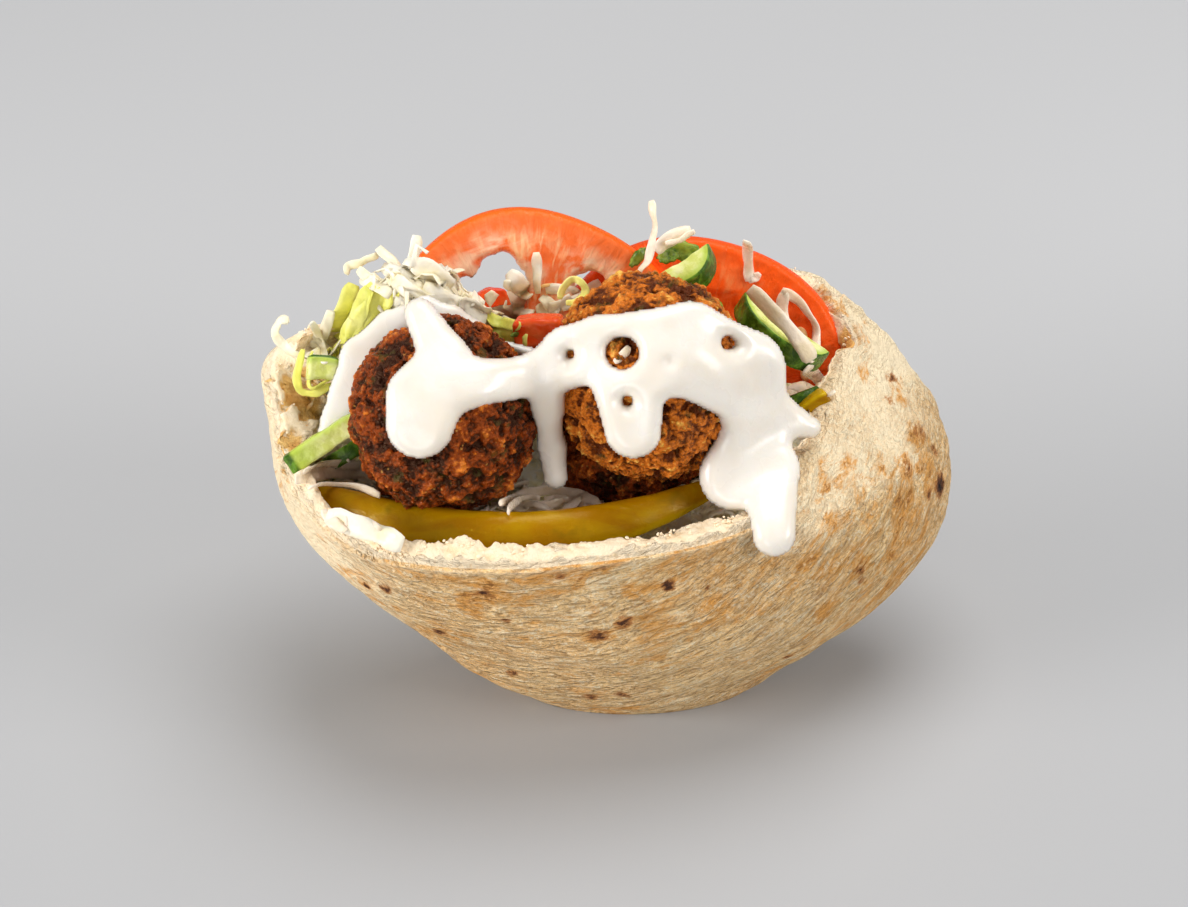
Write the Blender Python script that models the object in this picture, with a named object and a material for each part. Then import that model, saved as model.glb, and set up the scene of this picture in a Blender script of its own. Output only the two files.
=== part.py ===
"""Falafel pita: half a pita bread opened into a pouch and stood on its rounded underside.

The pouch holds a heap of shredded salad, three falafel, two tomato slices, a long pickle slice,
pieces of cucumber and red pepper, and a thick tahini sauce poured over the falafel.

+X is the pouch's right end, +Y its far wall, +Z up, and the foot rests on z = 0. The origin is
the middle of the whole object's footprint. Sizes are in millimetres, and every finished mesh is
scaled to metres.
"""

import math

import bmesh
import bpy
import numpy as np
from mathutils import Matrix, Vector, noise
from mathutils.bvhtree import BVHTree

MM = 0.001
ORIGIN = (3.2, 2.54)  # middle of the footprint, in the frame that the sizes below are given in

# ---- pita pouch ----
WALL = 5.6  # thickness of the bread
RIM_CROWN = 1.2  # how far the torn crumb stands above the cut edge
RIM_TEAR = 1.0  # unevenness of the torn edge
CROWN_DEPTH = 0.45  # where the crumb stands highest, as a share of the wall in from the outside
LIP_DEPTH = 0.9
HOLLOW_TOP = 0.98  # height of the inside's highest ring, as a share of the outside's
HOLLOW_FLOOR = 0.04
BREAD_WAVE = 0.9  # slow unevenness of the outside
BREAD_WAVE_LENGTH = 19.0
SIDES = 56  # corners in each ring round the pouch
OUTER_RINGS = 13
INNER_RINGS = 9

# Each station of the outside, from the foot to the rim: left end x, y; right end x, y; height of
# the line between the ends; reach to the near and to the far wall; squareness of the near and of
# the far half; rise towards +Y.
STATIONS = (
    (-17.0, -9.0, 36.0, -7.0, 0.0, 12.0, 20.0, 2.0, 2.0, 0.00),
    (-30.5, -8.0, 49.0, -3.0, 8.0, 20.0, 25.0, 1.65, 1.9, 0.00),
    (-43.0, -7.0, 65.0, 2.0, 18.5, 28.0, 28.0, 1.6, 1.9, 0.00),
    (-54.0, -6.0, 75.5, 9.0, 30.5, 37.0, 28.0, 1.7, 2.0, 0.03),
    (-63.0, -4.0, 78.0, 15.0, 43.0, 43.0, 30.0, 1.9, 2.1, 0.08),
    (-68.5, 0.0, 73.2, 23.0, 56.0, 48.5, 28.5, 2.2, 2.4, 0.14),
    (-70.8, 6.0, 57.8, 28.5, 69.3, 56.0, 22.6, 2.6, 3.6, 0.20),
)

# ---- falafel: centre, radii ----
FALAFEL_LEFT = ((-31.8, -6.0, 72.5), (19.6, 20.0, 21.2))
FALAFEL_RIGHT = ((11.8, 0.5, 77.6), (20.6, 20.4, 22.4))
FALAFEL_UNDER = ((7.0, 7.0, 57.0), (17.2, 16.8, 16.4))
FALAFEL_ROUGH = 0.9

# ---- tomato slices, leaning on the far wall: centre, radius ----
SLICE_LEAN = 28.0  # degrees back from upright
SLICE_THICK = 4.8
SLICE_EDGE = 0.7  # rounding of the skin's edges
SLICE_LOBES = ((5, 0.014), (3, 0.008))  # lobes round the outline, and their share of the radius
SLICE_SIDES = 44
TOMATO_LEFT = ((-14.0, 21.9, 65.0), 34.4)
TOMATO_RIGHT = ((21.2, 22.5, 54.6), 36.4)
# Seed hollows cut through the left slice: place across and up the slice from its centre, radii.
LEFT_HOLLOWS = ((-6.6, 16.2, 6.2, 8.2), (-13.4, 13.6, 4.6, 5.6), (13.0, 17.0, 3.6, 3.8))

# ---- pickle: middle line of the crescent, half width and half thickness ----
PICKLE_LINE = (
    (-61.4, -10.0, 56.0),
    (-50.0, -16.6, 56.6),
    (-36.0, -23.2, 57.0),
    (-20.0, -26.6, 57.2),
    (-4.0, -25.4, 57.4),
    (12.0, -19.6, 57.8),
    (28.0, -11.0, 58.4),
)
PICKLE_WIDE = 6.4
PICKLE_THICK = 2.6
PICKLE_TILT = 46.0  # degrees that its face leans back from level
PICKLE_POINT = 0.08  # size of the blunt tips, as a share of the middle
PICKLE_RINGS = 15
PICKLE_SIDES = 10

# ---- small pieces: centre, size, and turn in degrees about the pour's across, up and line ----
BLOCKS = {
    "cucumber_block": ("cucumber", (-58.0, 8.6, 74.0), (6.8, 5.2, 5.2), (0.0, 10.0, -4.0)),
    "cucumber_stick": ("cucumber", (-54.6, -2.8, 62.8), (22.0, 4.8, 4.6), (10.0, 0.0, 31.0)),
    "red_pepper_piece": ("pepper", (-11.6, 10.2, 82.6), (10.4, 6.4, 6.8), (16.0, -10.0, 6.0)),
    "red_pepper_strip": ("pepper", (-23.0, 23.6, 80.8), (9.0, 4.2, 3.8), (12.0, 6.0, 24.0)),
    "pickle_piece": ("pickle", (48.4, 7.0, 65.0), (7.4, 4.0, 4.6), (20.0, 0.0, 34.0)),
}
# Part-round cucumber slices, skin side towards the pour: centre, radius, thickness, part, turn.
CUCUMBER_SLICES = {
    "cucumber_chunk": ((21.0, 20.4, 90.4), 6.4, 6.2, 150.0, (24.0, -30.0, 6.0)),
    "cucumber_wedge": ((39.4, 14.4, 78.0), 11.4, 4.8, 170.0, (0.0, 0.0, -36.0)),
    "cucumber_slice": ((-52.0, -0.8, 58.8), 7.6, 3.4, 160.0, (0.0, 0.0, 31.0)),
    "cucumber_end": ((44.2, 9.2, 64.4), 6.0, 4.0, 150.0, (0.0, 0.0, 20.0)),
}

# ---- salad heap ----
SALAD_GAP = 1.0
SALAD_LEVEL = 52.0
# Mounds on the heap: middle x, y; spread x, y; height.
SALAD_MOUNDS = (
    (-40.0, 22.0, 19.0, 15.0, 42.0),
    (-14.0, 17.0, 20.0, 10.0, 26.0),
    (44.0, 12.0, 16.0, 16.0, 11.0),
)
SALAD_UNEVEN = 2.2
SALAD_LUMP = 6.0  # width of the unevenness
SALAD_SIDES = 34
SALAD_RINGS = 6
SALAD_FLOOR = 0.06  # heights as shares of the pouch's
SALAD_BRIM = 0.80
SALAD_BRIM_RISE = 0.14  # how much higher the brim stands at the left rear
SALAD_BRIM_FROM = 150.0
SALAD_TOP = (0.93, 0.82, 0.68, 0.52, 0.34, 0.16)  # rings of the heap's top, as shares of its brim

# ---- sauce, laid out on a plane square to the pour and carried back onto the filling ----
POUR_LIFT = 38.0  # degrees above level that the pour comes from, on the near side
POUR_REACH = 709.5
POUR_MIDDLE = (0.0, 0.0, 57.5)
SAUCE_THICK = 3.2
SAUCE_THIN = 0.9  # thickness at the very edge
SAUCE_EDGE = 3.4  # width over which the edge rounds off
SAUCE_SETTLING = 80  # rounds of evening out where the sauce bridges a gap
SAUCE_GAP = 0.7
SAUCE_CELL = 2.5
SAUCE_BLEND = 1.6
# Strokes of sauce: across, up, radius at the start and at the end.
SAUCE_STROKES = (
    (-37.4, 30.0, 3.7, -32.0, 20.0, 5.6),
    (-32.0, 20.0, 5.6, -36.3, 11.9, 8.3),
    (-36.3, 11.9, 8.3, -37.4, 6.3, 7.6),
    (-33.1, 14.7, 7.4, -19.1, 15.8, 4.5),
    (-19.1, 15.8, 4.5, -10.5, 17.5, 5.0),
    (-10.5, 17.5, 5.0, -9.9, 7.2, 3.2),
    (-9.9, 7.2, 3.2, -8.8, -4.4, 3.0),
    (-10.5, 18.0, 5.0, -5.2, 20.7, 6.8),
    (-5.2, 20.7, 6.8, 1.3, 23.3, 6.4),
    (1.3, 23.3, 6.4, 20.6, 24.4, 8.2),
    (20.6, 24.4, 8.2, 32.5, 18.0, 8.6),
    (32.5, 18.0, 8.6, 35.0, 5.1, 7.3),
    (35.0, 5.1, 7.0, 47.0, 5.0, 1.8),
    (35.0, 5.1, 7.3, 30.3, -4.6, 7.6),
    (30.3, -4.6, 7.6, 37.8, -3.5, 6.4),
    (37.8, -3.5, 6.4, 38.7, -17.5, 4.9),
    (7.3, 19.0, 8.6, 25.4, 19.0, 7.2),
    (7.3, 17.0, 8.6, 8.4, 5.1, 6.4),
)
SAUCE_HOLE = (6.2, 21.6, 3.3)

CLEARANCE = 0.35  # gap between neighbouring pieces

COLOURS = {
    "bread": ((0.62, 0.42, 0.22), 0.85),
    "falafel": ((0.16, 0.045, 0.012), 0.7),
    "tomato": ((0.72, 0.07, 0.015), 0.35),
    "pickle": ((0.36, 0.24, 0.015), 0.3),
    "cucumber": ((0.42, 0.55, 0.12), 0.35),
    "pepper": ((0.6, 0.02, 0.01), 0.3),
    "salad": ((0.83, 0.82, 0.5), 0.5),
    "sauce": ((0.9, 0.85, 0.74), 0.25),
}


# ---- shared helpers ----


def clear_scene():
    for obj in list(bpy.data.objects):
        bpy.data.objects.remove(obj, do_unlink=True)


def finish_of(name):
    """The plain material of one kind of food."""
    material = bpy.data.materials.get(name)
    if material is None:
        colour, roughness = COLOURS[name]
        material = bpy.data.materials.new(name)
        material.use_nodes = True
        shader = material.node_tree.nodes["Principled BSDF"]
        shader.inputs["Base Color"].default_value = (*colour, 1.0)
        shader.inputs["Roughness"].default_value = roughness
        shader.inputs["Metallic"].default_value = 0.0
    return material


def make_object(bm, name, finish):
    """One smooth-shaded object in metres, from a mesh built in millimetres."""
    bmesh.ops.recalc_face_normals(bm, faces=bm.faces)
    bmesh.ops.translate(bm, verts=bm.verts, vec=(-ORIGIN[0], -ORIGIN[1], 0.0))
    bmesh.ops.scale(bm, verts=bm.verts, vec=(MM, MM, MM))
    mesh = bpy.data.meshes.new(name)
    bm.to_mesh(mesh)
    bm.free()
    mesh.shade_smooth()
    mesh.materials.append(finish_of(finish))
    obj = bpy.data.objects.new(name, mesh)
    bpy.context.collection.objects.link(obj)
    return obj


def extrude_ring(bm, ring, points):
    """Extrudes a closed ring of vertices to the given points and returns the new ring in order."""
    edges = [bm.edges.get((a, b)) for a, b in zip(ring, ring[1:] + ring[:1])]
    made = bmesh.ops.extrude_edge_only(bm, edges=edges)["geom"]
    fresh = {v for v in made if isinstance(v, bmesh.types.BMVert)}
    following = []
    for old, point in zip(ring, points):
        new = next(e.other_vert(old) for e in old.link_edges if e.other_vert(old) in fresh)
        new.co = point
        following.append(new)
    return following


def closed_loft(rings):
    """A closed body through rings of points, with a flat cap at each end."""
    bm = bmesh.new()
    first = bmesh.ops.create_circle(bm, segments=len(rings[0]), radius=1.0, cap_ends=True)["verts"]
    for vert, point in zip(first, rings[0]):
        vert.co = point
    ring = first
    for points in rings[1:]:
        ring = extrude_ring(bm, ring, points)
    bm.faces.new(ring)
    return bm


def turned(degrees):
    x, y, z = (math.radians(d) for d in degrees)
    return Matrix.Rotation(z, 4, "Z") @ Matrix.Rotation(y, 4, "Y") @ Matrix.Rotation(x, 4, "X")


def place(bm, centre, turn):
    """Turns a piece in the pour's frame, whose Z points back up the pour, and moves it."""
    frame = Matrix.Rotation(math.radians(90.0 - POUR_LIFT), 4, "X")
    matrix = Matrix.Translation(centre) @ frame @ turned(turn)
    bmesh.ops.transform(bm, matrix=matrix, verts=bm.verts)


def smooth_row(rows, position):
    """The row at a position from 0 to 1 along a table, on a smooth curve through its rows."""
    rows = np.asarray(rows, float)
    last = len(rows) - 1
    at = min(max(position, 0.0), 1.0) * last
    i = min(int(at), last - 1)
    t = at - i
    before = rows[i - 1] if i else 2 * rows[0] - rows[1]
    after = rows[i + 2] if i + 2 <= last else 2 * rows[last] - rows[last - 1]
    a, b = rows[i], rows[i + 1]
    slope_a, slope_b = (b - before) / 2, (after - a) / 2
    return (
        (2 * t**3 - 3 * t**2 + 1) * a
        + (t**3 - 2 * t**2 + t) * slope_a
        + (3 * t**2 - 2 * t**3) * b
        + (t**3 - t**2) * slope_b
    )


def rounded(value, squareness):
    return math.copysign(abs(value) ** (2.0 / squareness), value)


# ---- pita ----


def outside(height, angle):
    """A point on the pouch's smooth outside: height 0 is the foot and 1 the rim."""
    lx, ly, rx, ry, z, near, far, near_square, far_square, rise = smooth_row(STATIONS, height)
    reach, squareness = (far, far_square) if math.sin(angle) > 0 else (near, near_square)
    along = rounded(math.cos(angle), squareness)
    across = rounded(math.sin(angle), squareness) * reach
    middle = Vector(((lx + rx) / 2, (ly + ry) / 2, z))
    half = Vector(((rx - lx) / 2, (ry - ly) / 2, 0.0))
    side = Vector((-half.y, half.x, 0.0)).normalized()
    point = middle + half * along + side * across
    point.z = z + rise * (point.y - middle.y)
    return point


def outward(height, angle):
    """The direction that the outside faces at a point."""
    step = 0.02
    up = outside(min(height + step, 1.0), angle) - outside(max(height - step, 0.0), angle)
    around = outside(height, angle + step) - outside(height, angle - step)
    return around.cross(up).normalized()


def bread_wave(point):
    return BREAD_WAVE * noise.noise(point / BREAD_WAVE_LENGTH)


def wall_point(height, angle, depth):
    """A point of the bread, the given depth in from the outside."""
    point = outside(height, angle)
    facing = outward(height, angle)
    swell = bread_wave(point) * min(1.0, 6.0 * height)
    return point + facing * (swell - depth)


def inside(height, angle, gap):
    """A point on the inside of the bread, moved a gap into the hollow."""
    point = wall_point(height, angle, WALL + gap)
    point.z = max(point.z, WALL + gap)
    return point


def ring_angles(count=SIDES):
    return [math.tau * i / count for i in range(count)]


def torn_edge():
    """The crumb's two rings along the rim, the higher one first."""
    crown, lip = [], []
    for a in ring_angles():
        tear = RIM_TEAR * noise.noise(Vector((7 * math.cos(a), 7 * math.sin(a), 3.0)))
        crown.append(wall_point(1.0, a, WALL * CROWN_DEPTH) + Vector((0, 0, RIM_CROWN + tear)))
        lip.append(wall_point(1.0, a, WALL * LIP_DEPTH + tear) + Vector((0, 0, 0.4 * tear)))
    return [crown, lip]


def pita():
    """The hollow pouch: outside, torn crumb at the rim, inside and a flat foot."""
    rings = []
    for i in range(OUTER_RINGS):
        height = i / (OUTER_RINGS - 1)
        rings.append([wall_point(height, a, 0.0) for a in ring_angles()])
    rings += torn_edge()
    for i in range(INNER_RINGS):
        height = HOLLOW_TOP + (HOLLOW_FLOOR - HOLLOW_TOP) * i / (INNER_RINGS - 1)
        rings.append([inside(height, a, 0.0) for a in ring_angles()])
    return make_object(closed_loft(rings), "pita", "bread")


# ---- filling ----


def falafel(name, ball, seed, subdivisions=3):
    """A fried ball with a lumpy crust."""
    centre, radii = ball
    bm = bmesh.new()
    bmesh.ops.create_icosphere(bm, subdivisions=subdivisions, radius=1.0)
    for vert in bm.verts:
        facing = vert.co.normalized()
        lump = noise.noise(facing * 2.1 + Vector((seed, 0, 0)))
        lump += 0.5 * noise.noise(facing * 5.3 + Vector((0, seed, 0)))
        vert.co = Vector([facing[k] * radii[k] for k in range(3)]) + facing * FALAFEL_ROUGH * lump
        vert.co += Vector(centre)
    return make_object(bm, name, "falafel")


def tomato_outline(radius, seed):
    """The slice's outline, slightly lobed as a ripe tomato is."""
    points = []
    for a in ring_angles(SLICE_SIDES):
        lobes = sum(share * math.cos(lobe * (a + seed)) for lobe, share in SLICE_LOBES)
        r = radius * (1 + lobes)
        points.append((r * math.cos(a), r * math.sin(a)))
    return points


def prism(outline, thickness, edge=0.0):
    """A slab with the given outline, its rims rounded off by edge."""
    half = thickness / 2
    levels = [(-half, 0.0), (half, 0.0)]
    if edge:
        levels = [(-half, edge), (-half + edge, 0.0), (half - edge, 0.0), (half, edge)]
    rings = []
    for z, inset in levels:
        ring = []
        for x, y in outline:
            ring.append(Vector((x, y, z)) - Vector((x, y, 0)).normalized() * inset)
        rings.append(ring)
    return closed_loft(rings)


def tomato_slice(name, slice_size, seed, hollows=()):
    """A round slice leaning back on the far wall, with any seed hollows cut through it."""
    centre, radius = slice_size
    turn = (POUR_LIFT - SLICE_LEAN, 0.0, 0.0)
    bm = prism(tomato_outline(radius, seed), SLICE_THICK, SLICE_EDGE)
    place(bm, centre, turn)
    obj = make_object(bm, name, "tomato")
    for i, (across, up, half_width, half_height) in enumerate(hollows):
        oval = [(half_width * math.cos(a), half_height * math.sin(a)) for a in ring_angles(14)]
        cutter = prism(oval, 3 * SLICE_THICK)
        bmesh.ops.translate(cutter, verts=cutter.verts, vec=(across, up, 0.0))
        place(cutter, centre, turn)
        cut_with(obj, hide(make_object(cutter, f"{name}_hollow_{i}", "tomato")))
    return obj


def pickle_frame(t):
    """The middle of the crescent at a position along it, and its two half axes there."""
    middle = Vector(smooth_row(PICKLE_LINE, t))
    ahead = Vector(smooth_row(PICKLE_LINE, min(t + 0.02, 1.0)))
    behind = Vector(smooth_row(PICKLE_LINE, max(t - 0.02, 0.0)))
    along = (ahead - behind).normalized()
    level = Vector((0, 0, 1)).cross(along).normalized()
    tilt = math.radians(PICKLE_TILT)
    wide = level * math.cos(tilt) + Vector((0, 0, 1)) * math.sin(tilt)
    taper = max(PICKLE_POINT, math.sin(math.pi * (0.03 + 0.94 * t)) ** 0.6)
    thick = wide.cross(along) * (PICKLE_THICK * max(taper, 0.3))
    return middle, wide * (PICKLE_WIDE * taper), thick


def pickle_slice():
    """A long crescent with a rounded skin side, pointed at both ends."""
    rings = []
    for i in range(PICKLE_RINGS):
        middle, wide, thick = pickle_frame(i / (PICKLE_RINGS - 1))
        angles = ring_angles(PICKLE_SIDES)
        rings.append([middle + wide * math.cos(a) + thick * math.sin(a) for a in angles])
    return make_object(closed_loft(rings), "pickle_slice", "pickle")


def block(name, finish, centre, size, turn):
    """A cut piece with softened edges."""
    bm = bmesh.new()
    bmesh.ops.create_cube(bm, size=1.0)
    bmesh.ops.scale(bm, verts=bm.verts, vec=size)
    bmesh.ops.bevel(
        bm,
        geom=bm.edges[:],
        offset=0.12 * min(size),
        offset_type="OFFSET",
        affect="EDGES",
        segments=1,
        profile=0.5,
        material=-1,
    )
    place(bm, centre, turn)
    return make_object(bm, name, finish)


def round_slice(name, centre, radius, thickness, part, turn):
    """Part of a round slice, edge on to the pour: a flat cut behind and a curved skin side."""
    steps = 12
    outline = []
    for i in range(steps + 1):
        a = math.radians(-90.0 - part / 2 + part * i / steps)
        outline.append((radius * math.cos(a), radius * math.sin(a) + 0.5 * radius))
    bm = prism(outline, thickness, 0.5)
    edge_on = Matrix.Rotation(-math.pi / 2, 3, "X")
    bmesh.ops.rotate(bm, cent=(0, 0, 0), matrix=edge_on, verts=bm.verts)
    place(bm, centre, turn)
    return make_object(bm, name, "cucumber")


# ---- salad ----


def salad_top(x, y):
    """The height of the heap above a point of the hollow."""
    heights = [0.0]
    for middle_x, middle_y, spread_x, spread_y, rise in SALAD_MOUNDS:
        away = ((x - middle_x) / spread_x) ** 2 + ((y - middle_y) / spread_y) ** 2
        heights.append(rise * math.exp(-(away**2)))
    uneven = SALAD_UNEVEN * noise.noise(Vector((x, y, 0.0)) / SALAD_LUMP)
    return SALAD_LEVEL + max(heights) + uneven


def salad_brim(angle):
    """The height of the heap's brim on the bread, as a share of the pouch's height."""
    left_rear = max(0.0, math.cos(angle - math.radians(SALAD_BRIM_FROM)))
    return SALAD_BRIM + SALAD_BRIM_RISE * left_rear


def salad_filling():
    """One body that fills the hollow up to the heap's uneven top."""
    angles = ring_angles(SALAD_SIDES)
    rings = []
    for i in range(SALAD_RINGS):
        share = SALAD_FLOOR + (1 - SALAD_FLOOR) * i / (SALAD_RINGS - 1)
        rings.append([inside(salad_brim(a) * share, a, SALAD_GAP) for a in angles])
    brim = rings[-1]
    middle = sum(brim, Vector()) / SALAD_SIDES
    for share in SALAD_TOP:
        ring = []
        for point in brim:
            x = middle.x + (point.x - middle.x) * share
            y = middle.y + (point.y - middle.y) * share
            blend = min(1.0, 6.0 * (1 - share))
            ring.append(Vector((x, y, point.z + (salad_top(x, y) - point.z) * blend)))
        rings.append(ring)
    return make_object(closed_loft(rings), "salad_filling", "salad")


# ---- sauce ----


def pour_eye():
    lift = math.radians(POUR_LIFT)
    away = Vector((0, -math.cos(lift), math.sin(lift)))
    return Vector(POUR_MIDDLE) + away * POUR_REACH


def on_pour_plane(across, up):
    lift = math.radians(POUR_LIFT)
    upward = Vector((0, math.sin(lift), math.cos(lift)))
    return Vector(POUR_MIDDLE) + Vector((1, 0, 0)) * across + upward * up


def sauce_distance(across, up):
    """The distance from the sauce's outline on the pour plane: negative inside."""
    total = 0.0
    for x0, y0, r0, x1, y1, r1 in SAUCE_STROKES:
        run_x, run_y = x1 - x0, y1 - y0
        t = ((across - x0) * run_x + (up - y0) * run_y) / (run_x**2 + run_y**2)
        t = min(max(t, 0.0), 1.0)
        gap = math.hypot(across - x0 - t * run_x, up - y0 - t * run_y) - (r0 + (r1 - r0) * t)
        total += math.exp(-gap * 4.0 / SAUCE_BLEND)
    distance = -math.log(max(total, 1e-200)) * SAUCE_BLEND / 4.0
    x, y, radius = SAUCE_HOLE
    return max(distance, radius - math.hypot(across - x, up - y))


def sauce_sheet():
    """A flat grid cut to the sauce's outline, with its edge moved onto the outline."""
    ends = [(s[k], s[k + 1], s[k + 2]) for s in SAUCE_STROKES for k in (0, 3)]
    low_x = min(x - r for x, _, r in ends) - SAUCE_CELL
    high_x = max(x + r for x, _, r in ends) + SAUCE_CELL
    low_y = min(y - r for _, y, r in ends) - SAUCE_CELL
    high_y = max(y + r for _, y, r in ends) + SAUCE_CELL
    bm = bmesh.new()
    bmesh.ops.create_grid(
        bm,
        x_segments=round((high_x - low_x) / SAUCE_CELL),
        y_segments=round((high_y - low_y) / SAUCE_CELL),
        size=0.5,
    )
    bmesh.ops.scale(bm, verts=bm.verts, vec=(high_x - low_x, high_y - low_y, 1.0))
    bmesh.ops.translate(
        bm, verts=bm.verts, vec=((low_x + high_x) / 2, (low_y + high_y) / 2, 0.0)
    )
    outer = [v for v in bm.verts if sauce_distance(v.co.x, v.co.y) > 0.42 * SAUCE_CELL]
    bmesh.ops.delete(bm, geom=outer, context="VERTS")
    drop_loose_corners(bm)
    for vert in [v for v in bm.verts if v.is_boundary]:
        move_to_outline(vert)
    return bm


def drop_loose_corners(bm):
    """Removes corners where two parts of the sheet meet at one point only, and stray faces."""
    while True:
        spare = [v for v in bm.verts if sum(e.is_boundary for e in v.link_edges) > 2]
        spare += [v for v in bm.verts if not v.link_faces]
        if not spare:
            return
        bmesh.ops.delete(bm, geom=list(set(spare)), context="VERTS")


def move_to_outline(vert):
    step = 0.05
    for _ in range(3):
        x, y = vert.co.x, vert.co.y
        here = sauce_distance(x, y)
        slope = Vector(
            (
                (sauce_distance(x + step, y) - here) / step,
                (sauce_distance(x, y + step) - here) / step,
                0.0,
            )
        )
        if slope.length < 0.2:
            return
        vert.co -= slope * (here / slope.length_squared)


def settled(floor):
    """Heights evened out from one vertex to the next, but nowhere below the floor."""
    lift = dict(floor)
    for _ in range(SAUCE_SETTLING):
        smoothed = {}
        for vert in floor:
            around = [lift[e.other_vert(vert)] for e in vert.link_edges]
            smoothed[vert] = max(floor[vert], sum(around) / len(around))
        lift = smoothed
    return lift


def drape(bm, below):
    """Carries the flat sheet back onto the pieces below it, bridging the gaps between them."""
    tree = tree_of(below)
    eye = pour_eye()
    floor = {}
    aims = {}
    for vert in bm.verts:
        aim = on_pour_plane(vert.co.x, vert.co.y)
        hit, _, _, distance = tree.ray_cast(eye, (aim - eye).normalized())
        aims[vert] = aim
        full = (aim - eye).length
        floor[vert] = (full - distance) / full * POUR_REACH if hit else -20.0
    lift = settled(floor)
    for vert in bm.verts:
        vert.co = aims[vert].lerp(eye, (lift[vert] + SAUCE_GAP) / POUR_REACH)


def tree_of(objects):
    """One search tree over several finished objects, in millimetres of the building frame."""
    points, faces = [], []
    for obj in objects:
        start = len(points)
        for vert in obj.data.vertices:
            points.append(vert.co / MM + Vector((*ORIGIN, 0.0)))
        faces += [[start + i for i in face.vertices] for face in obj.data.polygons]
    return BVHTree.FromPolygons(points, faces)


def sauce_depth(vert):
    """The sauce's thickness at a vertex of the flat sheet, rounding off towards its edge."""
    inward = min(1.0, max(0.0, -sauce_distance(vert.co.x, vert.co.y)) / SAUCE_EDGE)
    return SAUCE_THIN + (SAUCE_THICK - SAUCE_THIN) * math.sqrt(1 - (1 - inward) ** 2)


def face_the_pour(bm):
    eye = pour_eye()
    bm.normal_update()
    for face in bm.faces:
        if face.normal.dot(eye - face.calc_center_median()) < 0:
            face.normal_flip()
    bm.normal_update()


def tahini_sauce(below):
    """The poured sauce: the draped sheet given a rounded thickness."""
    bm = sauce_sheet()
    depth = bm.verts.layers.float.new("depth")
    for vert in bm.verts:
        vert[depth] = sauce_depth(vert)
    drape(bm, below)
    face_the_pour(bm)
    facing = {tuple(v.co): v.normal.copy() for v in bm.verts}
    made = bmesh.ops.extrude_face_region(bm, geom=bm.faces[:], use_keep_orig=True)["geom"]
    for vert in [v for v in made if isinstance(v, bmesh.types.BMVert)]:
        vert.co += facing[tuple(vert.co)] * vert[depth]
    return make_object(bm, "tahini_sauce", "sauce")


# ---- clearances ----


def hide(obj):
    """Makes a helper that cuts and isn't a piece."""
    obj.hide_render = True
    obj.display_type = "WIRE"
    return obj


def cut_with(obj, cutter):
    cut = obj.modifiers.new(cutter.name, "BOOLEAN")
    cut.operation = "DIFFERENCE"
    cut.solver = "EXACT"
    cut.object = cutter


def swollen(obj):
    """A hidden copy of a piece, larger by the clearance all round."""
    name = obj.name + "_clearance"
    if name in bpy.data.objects:
        return bpy.data.objects[name]
    bm = bmesh.new()
    bm.from_mesh(obj.data)
    bm.normal_update()
    moves = [(v, v.normal * (CLEARANCE * MM * v.calc_shell_factor())) for v in bm.verts]
    for vert, move in moves:
        vert.co += move
    mesh = bpy.data.meshes.new(name)
    bm.to_mesh(mesh)
    bm.free()
    copy = bpy.data.objects.new(name, mesh)
    bpy.context.collection.objects.link(copy)
    return hide(copy)


def clear_of_earlier(pieces):
    """Cuts each piece back from every earlier one that it touches, all in one cut."""
    for i, piece in enumerate(pieces):
        cutters = [swollen(other) for other in pieces[:i]]
        shape = tree_of([piece])
        touching = [cutter for cutter in cutters if shape.overlap(tree_of([cutter]))]
        if not touching:
            continue
        group = bpy.data.collections.new(piece.name + "_neighbours")
        for cutter in touching:
            group.objects.link(cutter)
        cut = piece.modifiers.new("neighbours", "BOOLEAN")
        cut.operation = "DIFFERENCE"
        cut.solver = "EXACT"
        cut.operand_type = "COLLECTION"
        cut.collection = group


def main():
    clear_scene()
    bread = pita()
    falafels = [
        falafel("falafel_left", FALAFEL_LEFT, 1.0),
        falafel("falafel_right", FALAFEL_RIGHT, 5.0),
        falafel("falafel_under", FALAFEL_UNDER, 9.0, 2),
    ]
    tomatoes = [
        tomato_slice("tomato_slice_right", TOMATO_RIGHT, 0.6),
        tomato_slice("tomato_slice_left", TOMATO_LEFT, 2.0, LEFT_HOLLOWS),
    ]
    small = [pickle_slice()]
    small += [block(name, *spec) for name, spec in BLOCKS.items()]
    small += [round_slice(name, *spec) for name, spec in CUCUMBER_SLICES.items()]
    salad = salad_filling()
    solid = [bread, *falafels, *tomatoes, *small, salad]
    clear_of_earlier([*solid, tahini_sauce(solid)])


main()
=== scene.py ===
"""Falafel pita: the finished surfaces, laid over the solids of the part.

Sizes inside the script are in millimetres in the frame that the part was laid out in. Every
finished mesh is moved so that the middle of the footprint is the origin, and scaled to metres.
+X is the pouch's right end, +Y its far wall, and +Z is up.
"""

import math
import random

import bmesh
import bpy
import numpy as np
from mathutils import Matrix, Vector, noise
from mathutils.bvhtree import BVHTree


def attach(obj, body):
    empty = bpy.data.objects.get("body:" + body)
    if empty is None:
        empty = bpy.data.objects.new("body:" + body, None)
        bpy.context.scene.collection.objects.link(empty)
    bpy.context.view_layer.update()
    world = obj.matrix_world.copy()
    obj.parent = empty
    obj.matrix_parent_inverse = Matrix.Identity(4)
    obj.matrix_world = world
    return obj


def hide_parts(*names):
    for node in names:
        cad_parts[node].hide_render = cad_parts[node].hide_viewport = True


bl_info = {
    "name": "Falafel pita",
    "version": (1, 0, 0),
    "blender": (4, 5, 0),
    "location": "View3D > Sidebar > Pita",
    "description": "Builds a pita pouch filled with salad, falafel and tahini sauce",
    "category": "Add Mesh",
}

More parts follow.
